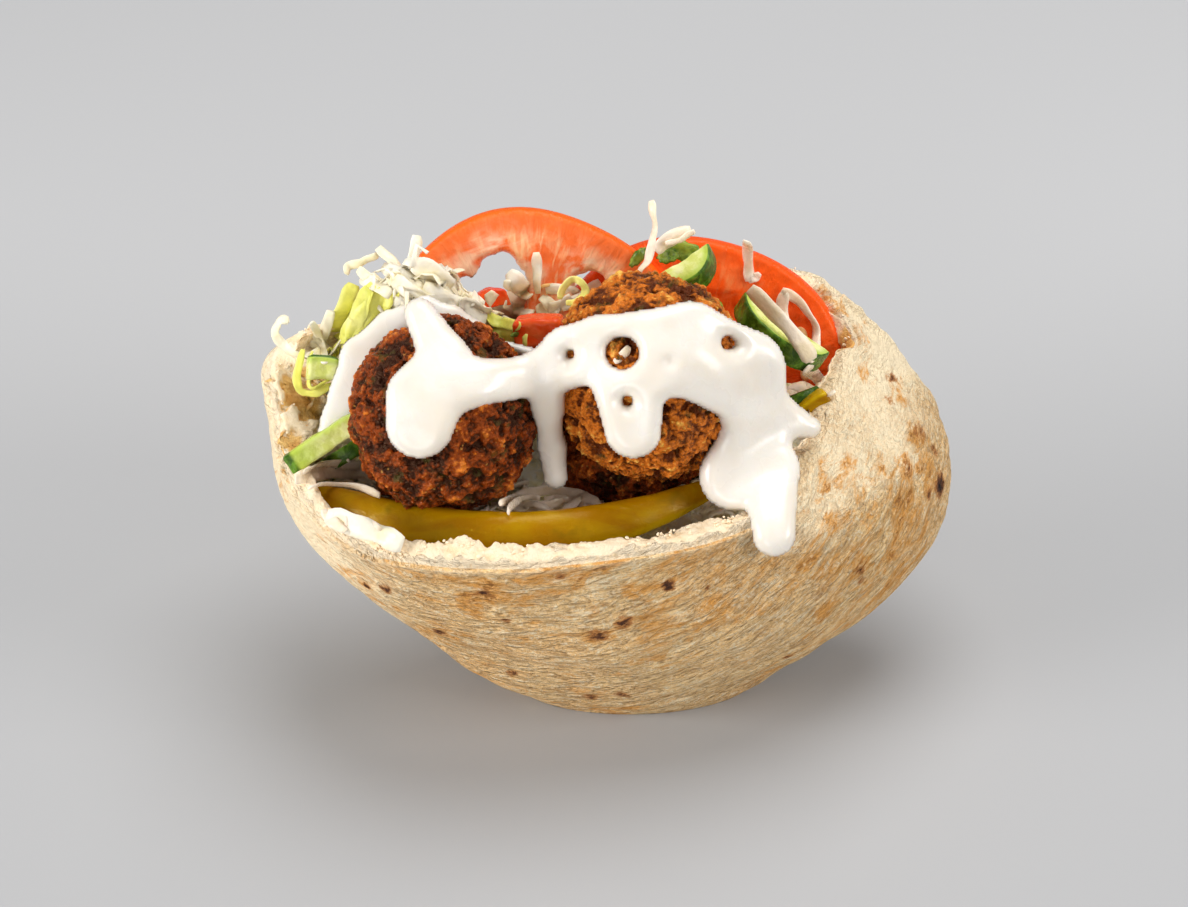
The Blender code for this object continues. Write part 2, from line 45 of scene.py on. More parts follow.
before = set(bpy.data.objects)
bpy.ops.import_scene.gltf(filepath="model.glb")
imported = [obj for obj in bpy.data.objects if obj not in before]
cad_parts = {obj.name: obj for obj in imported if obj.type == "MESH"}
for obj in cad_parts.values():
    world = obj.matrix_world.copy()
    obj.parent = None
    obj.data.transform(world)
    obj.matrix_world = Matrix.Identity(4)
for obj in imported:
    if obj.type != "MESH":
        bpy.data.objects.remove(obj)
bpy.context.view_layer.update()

MM = 0.001  # metres in a millimetre
ORIGIN = (3.2, 2.54)  # middle of the footprint in the building frame
SEEDS = {"pips": 3, "laid": 5, "herbs": 8, "strewn": 11, "crumbs": 21}  # for random draws

# ---- bread, as in the part ----
WALL = 5.6  # thickness of the bread
RIM_CROWN = 1.2  # how far the torn rim bulges up
BREAD_WAVE = 0.9  # height of the bread's broad swells
BREAD_WAVE_LENGTH = 19.0
FOOT_MIDDLE = (9.5, -8.0)  # where the rings of the foot and of the pocket's bottom close
# Left end x, y; right end x, y; height; reach to the near and far wall; squareness of the near
# and far half; rise towards +Y.
STATIONS = (
    (-17.0, -9.0, 36.0, -7.0, 0.0, 12.0, 20.0, 2.0, 2.0, 0.00),
    (-30.5, -8.0, 49.0, -3.0, 8.0, 20.0, 25.0, 1.65, 1.9, 0.00),
    (-43.0, -7.0, 65.0, 2.0, 18.5, 28.0, 28.0, 1.6, 1.9, 0.00),
    (-54.0, -6.0, 75.5, 9.0, 30.5, 37.0, 28.0, 1.7, 2.0, 0.03),
    (-63.0, -4.0, 78.0, 15.0, 43.0, 43.0, 30.0, 1.9, 2.1, 0.08),
    (-68.5, 0.0, 73.2, 23.0, 56.0, 48.5, 28.5, 2.2, 2.4, 0.14),
    (-70.8, 6.0, 57.8, 28.5, 69.3, 56.0, 22.6, 2.6, 3.6, 0.20),
)
BREAD_SIDES = 470  # vertices round the bread
# Rings of the bread: from height, to height, from depth, to depth, count, from zone, to zone.
# Zone 0 is the baked skin, 1 the torn crumb and 2 the inside of the pocket.
BREAD_RUNS = (
    (0.0, 0.94, 0.0, 0.0, 84, 0.0, 0.0),
    (0.945, 1.0, 0.0, 0.0, 12, 0.0, 0.2),
    (1.0, 1.0, 0.12, 0.95, 22, 0.6, 1.0),
    (0.995, 0.80, 1.0, 1.0, 36, 1.0, 1.6),
    (0.79, 0.50, 1.0, 1.0, 26, 1.6, 2.0),
    (0.46, 0.04, 1.0, 1.0, 12, 2.0, 2.0),
)
# Scorched spots on the skin, on the plane square to the pour: across, up, radius, strength.
SCORCH_SPOTS = (
    (16.0, -28.5, 1.3, 0.9),
    (-33.3, -38.4, 1.5, 0.8),
    (6.5, -36.5, 1.8, 0.7),
    (0.9, -39.2, 2.0, 0.65),
    (-23.9, -29.8, 1.2, 0.7),
    (-7.3, -26.4, 1.3, 0.5),
    (-18.9, -35.9, 1.0, 0.5),
    (-17.6, -47.2, 1.3, 0.7),
    (-0.9, -52.4, 1.6, 0.6),
    (6.0, -52.0, 1.8, 0.55),
    (24.5, -29.0, 0.7, 0.6),
    (41.7, -43.8, 1.0, 0.7),
    (-44.7, -29.2, 1.3, 0.8),
    (-48.9, -28.5, 0.9, 0.7),
    (74.4, -6.8, 2.3, 1.0),
    (72.0, -8.7, 1.2, 0.7),
    (73.1, 0.8, 1.3, 0.55),
    (70.1, 4.6, 2.0, 0.5),
    (63.9, 16.0, 1.5, 0.5),
    (63.4, 11.5, 1.2, 0.45),
    (67.7, -2.9, 1.4, 0.5),
    (57.4, -25.0, 1.1, 0.7),
    (57.4, -27.4, 1.0, 0.6),
    (65.1, -30.9, 1.1, 0.7),
)
# Places on the inside where the crumb is torn away: across, up, radius, depth.
TORN_PITS = (
    (-63.0, 13.5, 4.8, 2.4),
    (-60.5, 9.5, 3.6, 2.0),
    (-64.4, 2.5, 3.0, 1.8),
    (-67.0, 10.5, 1.8, 1.2),
    (-61.5, 17.5, 2.4, 1.4),
)
# Golden toasted patches of the skin: across, up, radius, strength.
GOLDEN_SPOTS = (
    (65.6, 15.2, 3.0, 0.9),
    (66.4, 11.5, 2.4, 0.7),
    (57.6, 16.9, 2.4, 0.5),
    (69.4, 4.6, 2.6, 0.9),
    (66.9, -2.5, 3.2, 0.9),
    (61.5, -3.5, 3.0, 0.6),
    (51.0, 31.0, 3.2, 1.0),
    (54.8, 24.2, 3.4, 1.0),
    (71.8, -4.0, 3.6, 0.9),
    (54.4, -0.8, 2.0, 0.5),
    (51.0, -7.2, 2.2, 0.6),
    (58.0, -24.2, 2.0, 0.7),
    (67.1, -8.9, 3.4, 0.8),
    (-5.6, -26.8, 3.4, 0.9),
    (1.7, -25.9, 3.0, 0.7),
    (7.1, -28.7, 2.6, 0.7),
    (6.0, -36.7, 2.4, 0.7),
    (0.6, -39.5, 3.0, 0.8),
    (-6.5, -34.9, 2.6, 0.7),
    (49.0, -34.1, 2.2, 0.6),
    (15.0, -45.7, 2.4, 0.6),
    (-23.9, -29.6, 3.4, 0.9),
    (-9.2, -27.2, 3.2, 0.8),
    (-49.0, -28.3, 3.0, 0.9),
    (-53.8, -26.1, 2.4, 0.7),
    (-37.0, -31.0, 2.4, 0.5),
    (-66.0, -4.0, 1.6, 0.5),
)
# The folds in the skin follow a curve: its slope in the middle, and how fast it steepens.
FOLD_RISE = 0.26
FOLD_BEND = 6.0
# Where the torn edge hangs inwards, or is thinner: angle round the rim, spread of angle, how far.
RIM_LIPS = (
    (-1.10, 0.12, 2.0),
    (-1.35, 0.10, 1.2),
    (-2.02, 0.11, 1.6),
    (-1.70, 0.10, 1.0),
    (-2.34, 0.30, -2.6),
    (2.96, 0.26, 9.0),
)
LIP_SLOPE = 0.62  # how steeply the torn edge hangs
# Where the rim dips: angle, spread of angle, share of the height.
RIM_DIPS = ((-2.50, 0.30, 0.10), (-2.95, 0.25, 0.03))
# Where the skin folds over the filling: angle, spread of angle, how far.
RIM_FOLDS = (
    (-0.40, 0.28, 10.0),
    (-0.80, 0.18, 6.0),
    (0.20, 0.24, 4.0),
    (-0.03, 0.05, -3.6),
    (0.19, 0.06, -3.0),
)
FOLD_LIFT = 3.2  # how much higher the folded edge lies
FOLD_SWELL = 1.7  # how far it bulges up between the skin and the pocket
CRUST_SHARE = 0.30  # how much of the rim's thickness is crust and not torn crumb
TORN_SIDES = 60  # vertices round the ring of torn crumb
TORN_RINGS = 1500  # and along it
RIM_CRUMBS = 260  # loose crumbs along the torn rim

# ---- falafel: centre, radii, seed ----
FALAFELS = {
    "falafel_left": ((-31.8, -6.0, 72.5), (19.6, 20.0, 21.2), 1.0),
    "falafel_right": ((11.8, 0.5, 77.6), (20.6, 20.4, 22.4), 5.0),
    "falafel_under": ((7.0, 7.0, 57.0), (17.2, 16.8, 16.4), 9.0),
}

# ---- tomato slices ----
SLICE_LEAN = 28.0  # degrees from upright
SLICE_THICK = 4.8
SLICE_LOBES = ((5, 0.014), (3, 0.008))  # lobes round the rim, and their share of the radius
SLICE_CELL = 0.5
# Each slice: centre, radius, and the seed of its outline and relief.
TOMATO_LEFT = ((-14.0, 21.9, 65.0), 34.4, 2.0)
TOMATO_RIGHT = ((21.2, 22.5, 54.6), 36.4, 0.6)
# Hollows cut through a slice: across and up from its middle, half width and half height.
LEFT_HOLLOWS = ((-6.6, 16.2, 6.2, 8.2), (-13.4, 13.6, 4.6, 5.6), (13.0, 17.0, 3.4, 3.6))
# Seed pockets sunk in a slice: across, up, half width, half height.
RIGHT_POCKETS = ((23.5, 9.0, 5.0, 12.0), (2.0, 20.0, 10.0, 5.0), (-20.0, 8.0, 7.0, 9.0))
LEFT_POCKETS = ((20.0, 2.0, 6.0, 9.0), (-20.0, -4.0, 6.0, 9.0))
TOMATO_SEEDS = ((22.0, 12.0), (25.2, 6.0), (23.2, 0.5), (24.5, 15.5), (-2.0, 21.0), (6.0, 19.5))

# ---- pickle: middle line of the crescent, half width and half thickness ----
PICKLE_LINE = (
    (-61.4, -10.0, 56.0),
    (-50.0, -17.0, 55.8),
    (-36.0, -23.8, 55.9),
    (-20.0, -27.0, 56.4),
    (-4.0, -25.6, 56.8),
    (12.0, -19.8, 57.4),
    (28.0, -11.0, 58.4),
)
PICKLE_WIDE = 5.4
PICKLE_THICK = 2.6
PICKLE_TILT = 46.0  # degrees that its width is turned up from level
PICKLE_RINGS = 150
PICKLE_SIDES = 56

# ---- cut pieces ----
BLOCK_VOXEL = 0.32
SLICE_VOXEL = 0.3
ARC_STEPS = 40
# Blocks: kind, centre, size, and turn about the pour's across, up and line.
BLOCKS = {
    "cucumber_block": ("cucumber", (-58.0, 8.6, 74.0), (6.8, 5.2, 5.2), (0.0, 10.0, -4.0)),
    "cucumber_stick": ("cucumber", (-55.6, -6.4, 66.8), (22.0, 4.4, 3.7), (10.0, 0.0, 33.0)),
    "red_pepper_piece": ("pepper", (-11.6, 10.2, 82.6), (10.4, 6.4, 6.8), (16.0, -10.0, 6.0)),
    "red_pepper_strip": ("pepper", (-23.0, 23.6, 80.8), (9.0, 4.2, 3.8), (12.0, 6.0, 24.0)),
    "pickle_piece": ("pickle", (47.2, 7.0, 65.4), (7.4, 4.0, 4.6), (20.0, 0.0, 34.0)),
}
# Part-round cucumber slices: centre, radius, thickness, part, turn.
CUCUMBER_SLICES = {
    "cucumber_chunk": ((20.4, 20.0, 90.6), 7.0, 6.2, 160.0, (58.0, 0.0, 32.0)),
    "cucumber_wedge": ((39.4, 14.4, 78.0), 11.4, 4.8, 170.0, (26.0, 0.0, -36.0)),
    "cucumber_slice": ((-52.0, -0.8, 58.8), 7.6, 3.4, 160.0, (0.0, 0.0, 31.0)),
    "cucumber_end": ((44.2, 9.2, 64.4), 6.0, 4.0, 150.0, (0.0, 0.0, 20.0)),
}

# ---- salad heap ----
CORE_VOXEL = 0.9
CORE_DROP = 1.6  # how far the core lies under the heap's outline
CORE_HOLLOW = 9.0  # how much lower it lies at the open left end

# ---- sauce ----
# Thickness of a sheet, width of its rounded edge, and its gap over what is under it.
POURED_SHEET = (3.4, 3.6, 0.5)
THIN_SHEET = (1.7, 3.0, 0.9)
SAUCE_BLEND = 2.4  # how widely strokes melt into one another
SAUCE_CELL = 0.5
DRAPE_ROUNDS = 1500  # rounds that pull the sheet smooth over what is under it
RELAX_ROUNDS = 60  # rounds that soften it after that
BARE_LIFT = -20.0  # where a sheet would lie if nothing were under it
# Runs of sauce, each through places across and up, with the radius there.
SAUCE_RUNS = (
    ((-37.4, 30.0, 3.7), (-32.0, 20.0, 5.6), (-36.3, 11.9, 8.3), (-37.4, 6.3, 7.6)),
    (
        (-33.1, 14.7, 7.4),
        (-19.1, 15.8, 4.5),
        (-10.5, 17.5, 5.0),
        (-9.9, 9.6, 3.5),
        (-9.6, 5.4, 2.6),
        (-9.0, 1.6, 3.1),
        (-8.7, -1.6, 2.5),
        (-8.3, -5.0, 2.9),
    ),
    (
        (-10.5, 18.0, 5.0),
        (-5.2, 20.7, 6.8),
        (1.3, 23.3, 6.4),
        (20.6, 24.4, 8.2),
        (32.5, 18.0, 8.6),
        (35.0, 5.1, 7.3),
    ),
    ((37.4, 8.6, 6.4), (46.4, 5.6, 2.6)),
    ((35.0, 5.1, 7.3), (30.3, -4.6, 7.6), (37.8, -3.5, 6.4), (38.7, -17.5, 4.9)),
    ((7.3, 19.0, 8.6), (19.0, 20.0, 7.8)),
    ((19.0, 20.4, 7.8), (27.5, 17.0, 8.6)),
    ((7.3, 17.0, 8.6), (8.4, 5.1, 6.4)),
)
# Holes in the sauce: across, up, radius.
SAUCE_HOLES = ((6.2, 21.6, 3.2), (-4.9, 21.3, 0.6), (7.2, 11.3, 0.85), (28.6, 23.8, 1.15))
# The thin sauce that has run down over the heap behind the left falafel.
THIN_RUNS = (
    (
        (-36.5, 31.0, 3.2),
        (-44.0, 27.5, 3.2),
        (-50.5, 21.0, 4.0),
        (-52.5, 13.0, 4.4),
        (-55.5, 7.0, 3.4),
        (-57.6, 4.6, 2.0),
    ),
    ((-37.0, 31.2, 2.6), (-30.5, 29.6, 2.3), (-25.0, 27.2, 1.6)),
    ((-21.6, 24.3, 0.9), (-12.8, 21.2, 1.7)),
)
# Dimples in the poured sauce: across, up, radius, depth.
SAUCE_DIMPLES = (
    (15.9, 19.5, 1.3, 0.9),
    (-4.9, 21.3, 1.8, 1.0),
    (28.6, 23.8, 2.6, 1.0),
    (7.2, 11.3, 2.0, 1.0),
)

# ---- shreds ----
# Patches of the heap that random shreds cover: middle x, y; reach x, y; count; length; half
# width; kind; the way most of them run, or None.
SHRED_PATCHES = (
    (-42.0, 18.0, 24.0, 20.0, 110, 16.0, 1.7, "cabbage", (1.0, -0.5, -0.9)),
    (-40.0, 20.0, 24.0, 20.0, 150, 11.0, 0.9, "cabbage", (1.0, -0.4, -0.6)),
    (-40.0, 20.0, 26.0, 22.0, 130, 8.0, 0.6, "cabbage", None),
    (-50.0, 14.0, 15.0, 13.0, 40, 9.0, 1.3, "leaf", (-0.6, -0.6, -1.0)),
    (-14.0, 18.0, 20.0, 9.0, 60, 10.0, 1.5, "cabbage", (1.0, -0.3, -0.3)),
    (-14.0, 18.0, 20.0, 9.0, 60, 8.0, 0.7, "cabbage", None),
    (-16.0, 16.0, 16.0, 7.0, 14, 8.0, 1.3, "leaf", None),
    (-48.0, -10.0, 16.0, 12.0, 40, 12.0, 1.0, "onion", (1.0, 0.2, 0.0)),
    (-10.0, -12.0, 16.0, 10.0, 40, 11.0, 0.9, "onion", (1.0, 0.3, 0.2)),
    (20.0, -8.0, 22.0, 14.0, 40, 10.0, 0.9, "cabbage", None),
    (46.0, 12.0, 16.0, 16.0, 60, 9.0, 1.0, "cabbage", None),
    (44.0, 14.0, 14.0, 14.0, 14, 8.0, 1.0, "leaf", None),
    (5.0, 34.0, 55.0, 9.0, 90, 11.0, 1.1, "cabbage", None),
)
# Shreds given one by one: kind, half width, lift, tilt, and points across and up the pour's plane. A
# lift of None lays the shred on what is under it.
LAID_SHREDS = (
    ("cabbage", 1.5, 2.0, 20, ((-39.4, 37.0), (-39.0, 41.0), (-38.1, 46.9))),
    ("cabbage", 1.5, 2.0, -30, ((-46.4, 44.4), (-42.4, 40.4), (-37.0, 35.4))),
    ("cabbage", 1.1, 1.0, 30, ((-53.5, 38.6), (-52.4, 40.4), (-49.6, 41.2), (-46.6, 42.9))),
    ("cabbage", 1.3, 2.0, 10, ((-50.8, 39.6), (-47.6, 37.4), (-43.8, 35.6))),
    ("cabbage", 2.0, None, -15, ((-45.2, 40.1), (-39.6, 36.6), (-33.1, 31.1))),
    ("cabbage", 2.2, None, 10, ((-39.1, 40.6), (-34.6, 39.2), (-30.4, 36.0))),
    ("cabbage", 2.3, None, -10, ((-36.6, 36.0), (-30.0, 31.8), (-23.4, 28.4))),
    ("cabbage", 1.9, None, 20, ((-43.0, 37.6), (-38.0, 33.6), (-34.0, 33.0))),
    ("cabbage", 1.6, None, -20, ((-49.7, 37.9), (-46.6, 35.8), (-43.6, 34.1))),
    ("leaf", 2.6, None, 12, ((-45.0, 34.6), (-49.4, 29.6), (-54.0, 23.6))),
    ("leaf", 2.3, None, -18, ((-51.6, 36.4), (-53.6, 31.6), (-55.6, 26.4))),
    ("leaf", 2.2, None, 25, ((-48.2, 35.4), (-50.6, 30.0), (-52.2, 24.0))),
    ("leaf", 1.4, None, 35, ((-47.6, 36.4), (-51.6, 30.6), (-55.4, 24.8))),
    ("cabbage", 1.5, None, 0, ((-56.6, 30.6), (-57.6, 26.6), (-60.4, 22.6))),
    ("cabbage", 1.2, None, 20, ((-63.6, 25.7), (-60.4, 24.6), (-57.2, 21.2))),
    ("cabbage", 1.2, None, -20, ((-62.6, 21.7), (-59.8, 21.0), (-57.0, 23.4))),
    ("cabbage", 1.0, None, 10, ((-60.6, 28.0), (-58.6, 24.4), (-58.0, 19.4))),
    ("cabbage", 1.1, 2.0, 25, ((-65.6, 28.8), (-67.8, 28.2), (-68.5, 25.6), (-66.2, 22.7), (-62.8, 21.0))),
    ("leaf", 0.9, 3.0, 10, ((-62.4, 22.4), (-63.9, 16.7), (-63.0, 13.4), (-60.0, 13.0), (-56.4, 14.8))),
    ("leaf", 0.6, 4.0, 60, ((-60.4, 22.0), (-61.6, 17.4), (-60.6, 14.2), (-56.8, 15.6))),
    ("cabbage", 1.1, None, 15, ((-12.4, 43.3), (-12.2, 39.0), (-12.1, 34.4))),
    ("cabbage", 2.0, None, 10, ((-18.4, 39.0), (-16.2, 36.6), (-14.6, 33.6))),
    ("carrot", 0.45, None, 0, ((-14.6, 34.8), (-12.0, 35.6), (-8.8, 36.5))),
    ("leaf", 2.2, None, 10, ((-22.4, 25.4), (-19.0, 25.0), (-14.6, 24.4))),
    ("leaf", 1.6, None, -30, ((-23.0, 29.4), (-20.0, 28.0), (-16.4, 27.4))),
    ("cabbage", 1.7, None, 10, ((-22.9, 34.6), (-20.6, 31.8), (-18.0, 29.4))),
    ("cabbage", 1.5, None, -20, ((-19.4, 32.2), (-16.4, 31.0), (-13.2, 30.0))),
    ("cabbage", 1.7, None, 20, ((-29.0, 32.6), (-25.6, 31.4), (-22.2, 30.0))),
    ("cabbage", 1.5, None, 5, ((-19.4, 36.4), (-17.0, 36.0), (-13.8, 33.6))),
    ("cabbage", 1.5, None, -10, ((-11.3, 33.8), (-9.6, 32.0), (-7.4, 30.6))),
    ("cabbage", 1.6, None, 25, ((-12.4, 30.6), (-8.4, 31.4), (-4.8, 33.6))),
    ("cabbage", 1.3, None, 0, ((-7.0, 31.3), (-3.0, 33.6), (1.3, 36.9))),
    ("cabbage", 1.3, None, 30, ((-10.4, 35.0), (-6.8, 35.6), (-3.2, 34.0))),
    (
        "leaf",
        0.9,
        4.0,
        20,
        ((-7.4, 33.2), (-6.4, 36.2), (-3.8, 37.4), (-1.9, 35.4), (-3.2, 32.8), (-6.0, 32.4)),
    ),
    ("onion", 0.95, 12.0, 35, ((12.3, 54.4), (13.0, 50.6), (12.6, 45.6), (11.4, 41.4), (9.6, 38.4))),
    ("onion", 1.7, 4.0, 10, ((13.3, 43.4), (16.3, 46.2), (20.9, 48.1))),
    ("onion", 0.7, 5.0, 10, ((15.4, 45.2), (18.6, 46.0), (21.6, 47.9))),
    ("onion", 1.3, None, 10, ((32.8, 45.5), (33.2, 41.4), (33.4, 37.0))),
    ("onion", 0.9, None, 0, ((33.2, 37.3), (34.4, 37.5), (35.6, 38.8))),
    ("onion", 1.9, 8.0, 10, ((33.4, 35.4), (39.4, 29.6), (44.4, 23.8), (46.8, 20.0))),
    ("onion", 1.1, None, 25, ((40.4, 35.2), (44.0, 32.8), (47.3, 28.6), (47.9, 23.2), (46.4, 19.6))),
    ("onion", 1.4, None, -10, ((41.2, 34.8), (40.0, 30.0), (42.8, 25.0))),
    ("onion", 1.6, None, 0, ((45.4, 18.4), (48.4, 16.0), (51.0, 13.0))),
    ("onion", 0.9, 32.2, 0, ((4.4, 19.6), (6.2, 21.2), (7.5, 23.0))),
    ("onion", 2.0, None, 10, ((-63.9, -5.6), (-57.0, -3.2), (-49.0, -4.0), (-42.4, -7.8))),
    ("onion", 1.2, None, 40, ((-62.6, -3.8), (-55.0, -1.8), (-47.4, -3.6))),
    ("onion", 0.6, None, 0, ((-53.1, -1.4), (-49.4, -3.0), (-45.6, -6.3))),
    ("onion", 1.0, None, 50, ((-61.0, -7.4), (-54.0, -6.2), (-46.0, -9.0))),
    ("cabbage", 2.5, None, 5, ((-57.4, -13.4), (-51.6, -15.4), (-45.6, -17.4), (-41.2, -19.6))),
    ("onion", 1.5, None, 20, ((-53.6, -14.4), (-50.0, -14.8), (-46.0, -17.0))),
    ("onion", 1.2, None, -20, ((-58.1, -12.1), (-56.6, -14.6), (-53.4, -16.4))),
    ("onion", 1.2, None, 10, ((-20.0, -10.6), (-15.5, -9.0), (-10.0, -7.6), (-1.7, -8.9))),
    ("onion", 0.8, None, 30, ((-18.5, -12.8), (-16.4, -9.6), (-11.6, -9.4))),
    ("onion", 1.0, None, 40, ((-24.0, -9.2), (-19.0, -7.0), (-14.0, -6.4))),
)
SHRED_SIDES = 8
SHRED_STEP = 1.1  # length of one step along a random shred
SHRED_BOTTOM = 48.0  # the height that random shreds start above
LAID_THICK = 0.26
LAID_GAP = 0.7  # between a shred and what it lies on
LAID_ROUNDS = 6  # rounds that smooth its line
LEAF_GAP = 0.8
LEAF_CELL = 0.28
# Herb leaves: across, up, length, width, turn, lift.
LEAVES = (
    (18.4, 43.8, 9.6, 4.6, -14.0, 1.5),
    (16.0, 42.4, 5.0, 3.0, 12.0, 2.6),
    (9.4, 42.2, 5.2, 2.4, 52.0, None),
    (42.2, 19.8, 3.2, 1.5, -18.0, None),
    (-63.2, 9.2, 3.4, 1.7, 98.0, None),
    (26.9, 32.2, 2.4, 1.2, -50.0, None),
    (-17.0, 25.6, 2.0, 1.1, 20.0, None),
    (-52.0, 22.5, 2.6, 1.4, 30.0, None),
)

# ---- pour: the direction that the sauce was laid out from ----
POUR_LIFT = 38.0  # degrees above level
POUR_REACH = 709.5
POUR_MIDDLE = (0.0, 0.0, 57.5)

# ---- stage, in metres ----
FLOOR_SIZE = 1.6
LENS = 100.0
SENSOR_WIDTH = 36.0
ROOM_LIGHT = 0.25
# Lights: name, place, what it points at, diameter, power.
LIGHTS = (
    ("overhead", (0.14, 0.24, 0.85), (0, 0, 0.04), 0.7, 6.0),
    ("left", (-0.95, -0.34, 0.34), (0, 0, 0.05), 0.5, 8.6),
    ("right", (0.95, -0.35, 0.50), (0, 0, 0.05), 0.5, 5.6),
    ("front", (-0.3, -1.05, 0.20), (0, 0, 0.04), 0.6, 3.6),
)


# ---- what a user would change ----


def colour_property(name, default, description):
    return bpy.props.FloatVectorProperty(
        name=name,
        description=description,
        default=default,
        size=4,
        min=0.0,
        max=1.0,
        subtype="COLOR",
    )


def length_property(name, default, description):
    return bpy.props.FloatProperty(
        name=name, description=description, default=default, min=0.0, unit="LENGTH"
    )


class PitaSizes(bpy.types.PropertyGroup):
    """Sizes of the fine detail"""

    wrinkle: length_property("Wrinkle", 0.00030, "Height of the fine wrinkles in the bread's skin")
    crumb: length_property("Crumb", 0.0011, "How far the torn crumb stands up along the rim")
    crust: length_property("Crust", 0.0013, "Height of the fried crust's coarse crumbs")


class PitaColours(bpy.types.PropertyGroup):
    """Colours of the foods"""

    skin: colour_property("Skin", (0.97, 0.60, 0.255, 1.0), "Baked skin of the bread")
    flour: colour_property("Flour", (1.0, 0.845, 0.585, 1.0), "Pale, floury parts of the skin")
    toast: colour_property("Toast", (0.33, 0.12, 0.03, 1.0), "Toasted patches of the skin")
    crumb: colour_property("Crumb", (0.96, 0.80, 0.575, 1.0), "Torn crumb of the bread")
    pocket: colour_property("Pocket", (0.90, 0.56, 0.20, 1.0), "Golden inside of the pocket")
    tomato_skin: colour_property("Tomato skin", (0.93, 0.13, 0.006, 1.0), "Skin of the slices")
    tomato_flesh: colour_property("Tomato flesh", (1.0, 0.105, 0.008, 1.0), "Ripe flesh")
    tomato_pale: colour_property("Pale tomato", (1.0, 0.52, 0.25, 1.0), "Pale inner flesh")
    pickle: colour_property("Pickle", (0.36, 0.155, 0.0006, 1.0), "Skin of the pickle")
    cucumber_skin: colour_property("Cucumber skin", (0.035, 0.10, 0.005, 1.0), "Dark skin")
    cucumber_flesh: colour_property("Cucumber flesh", (0.64, 0.68, 0.16, 1.0), "Pale flesh")
    pepper: colour_property("Red pepper", (1.0, 0.075, 0.008, 1.0), "Pieces of red pepper")
    cabbage: colour_property("Cabbage", (1.0, 0.92, 0.72, 1.0), "White shredded cabbage")
    leaf: colour_property("Lettuce", (0.95, 0.90, 0.17, 1.0), "Yellow-green shredded leaf")
    sauce: colour_property("Sauce", (0.83, 0.78, 0.705, 1.0), "Tahini sauce")


# ---- shape helpers ----


def rows_at(rows, positions):
    """Rows at positions from 0 to 1 along a table, on a smooth curve through its rows."""
    rows = np.asarray(rows, float)
    last = len(rows) - 1
    padded = np.vstack([2 * rows[0] - rows[1], rows, 2 * rows[last] - rows[last - 1]])
    at = np.clip(np.asarray(positions, float), 0.0, 1.0) * last
    i = np.minimum(at.astype(int), last - 1)
    t = (at - i)[:, None]
    a, b = padded[i + 1], padded[i + 2]
    slope_a, slope_b = (b - padded[i]) / 2, (padded[i + 3] - a) / 2
    return (
        (2 * t**3 - 3 * t**2 + 1) * a
        + (t**3 - 2 * t**2 + t) * slope_a
        + (3 * t**2 - 2 * t**3) * b
        + (t**3 - t**2) * slope_b
    )


def rounded(value, squareness):
    """A sine or cosine bent so that its oval comes out squarer."""
    return np.sign(value) * np.abs(value) ** (2.0 / squareness)


def outside(height, angle):
    """Points on the pouch's smooth outside, for arrays of heights and angles."""
    row = rows_at(STATIONS, height * (1 - spread_round(angle, RIM_DIPS))).T
    lx, ly, rx, ry, z, near, far, near_square, far_square, rise = row
    far_side = np.sin(angle) > 0
    reach = np.where(far_side, far, near)
    squareness = np.where(far_side, far_square, near_square)
    along = rounded(np.cos(angle), squareness)
    across = rounded(np.sin(angle), squareness) * reach
    half_x, half_y = (rx - lx) / 2, (ry - ly) / 2
    size = np.hypot(half_x, half_y)
    x = (lx + rx) / 2 + half_x * along - half_y / size * across
    y = (ly + ry) / 2 + half_y * along + half_x / size * across
    z = z + rise * (y - (ly + ry) / 2)
    return np.stack([x, y, z], 1)


def unit(vectors):
    return vectors / np.maximum(np.linalg.norm(vectors, axis=1, keepdims=True), 1e-9)


def level(vectors):
    """The vectors laid level, at full length."""
    return unit(vectors * np.array([1.0, 1.0, 0.0]))


def square_to(along, vectors):
    """The vectors made square to others, at full length."""
    return unit(vectors - along * np.sum(vectors * along, axis=1)[:, None])


def outward(height, angle):
    """The directions that the outside faces."""
    step = 0.02
    up = outside(np.minimum(height + step, 1.0), angle)
    up = up - outside(np.maximum(height - step, 0.0), angle)
    around = outside(height, angle + step) - outside(height, angle - step)
    return unit(np.cross(around, up))


def seed_shift(seed):
    """How far a seed moves a noise."""
    return Vector((seed * 7.1, seed * 3.3, seed * 5.7))


def waves(points, size, seed=0.0):
    """Smooth noise at each point, between about -1 and 1, with the given wavelength."""
    shift = seed_shift(seed)
    return np.array([noise.noise(Vector(p) / size + shift) for p in points])


def lumps(points, size, octaves, seed=0.0):
    """Noise of several sizes, each half as large as the one before."""
    shift = seed_shift(seed)
    return np.array([noise.fractal(Vector(p) / size + shift, 1.0, 2.0, octaves) for p in points])


def cells(points, size, seed=0.0):
    """Distance from each point to the nearest of scattered grains."""
    shift = seed_shift(seed)
    return np.array([noise.voronoi(Vector(p) / size + shift)[0][0] for p in points])


def smoothstep(low, high, value):
    t = np.clip((value - low) / (high - low), 0.0, 1.0)
    return t * t * (3 - 2 * t)


def points_of(mesh, kind="co"):
    points = np.empty(len(mesh.vertices) * 3)
    mesh.vertices.foreach_get(kind, points)
    return points.reshape(-1, 3)


def normals_of(mesh):
    return points_of(mesh, "normal")


def move_points(mesh, points):
    mesh.vertices.foreach_set("co", np.ascontiguousarray(points, float).ravel())
    mesh.update()


def paint(mesh, name, values):
    """Stores one number for each vertex, for a material to read."""
    layer = mesh.attributes.new(name, "FLOAT", "POINT")
    layer.data.foreach_set("value", np.ascontiguousarray(values, float))


def mesh_from(bm, name):
    mesh = bpy.data.meshes.new(name)
    bm.to_mesh(mesh)
    bm.free()
    return mesh


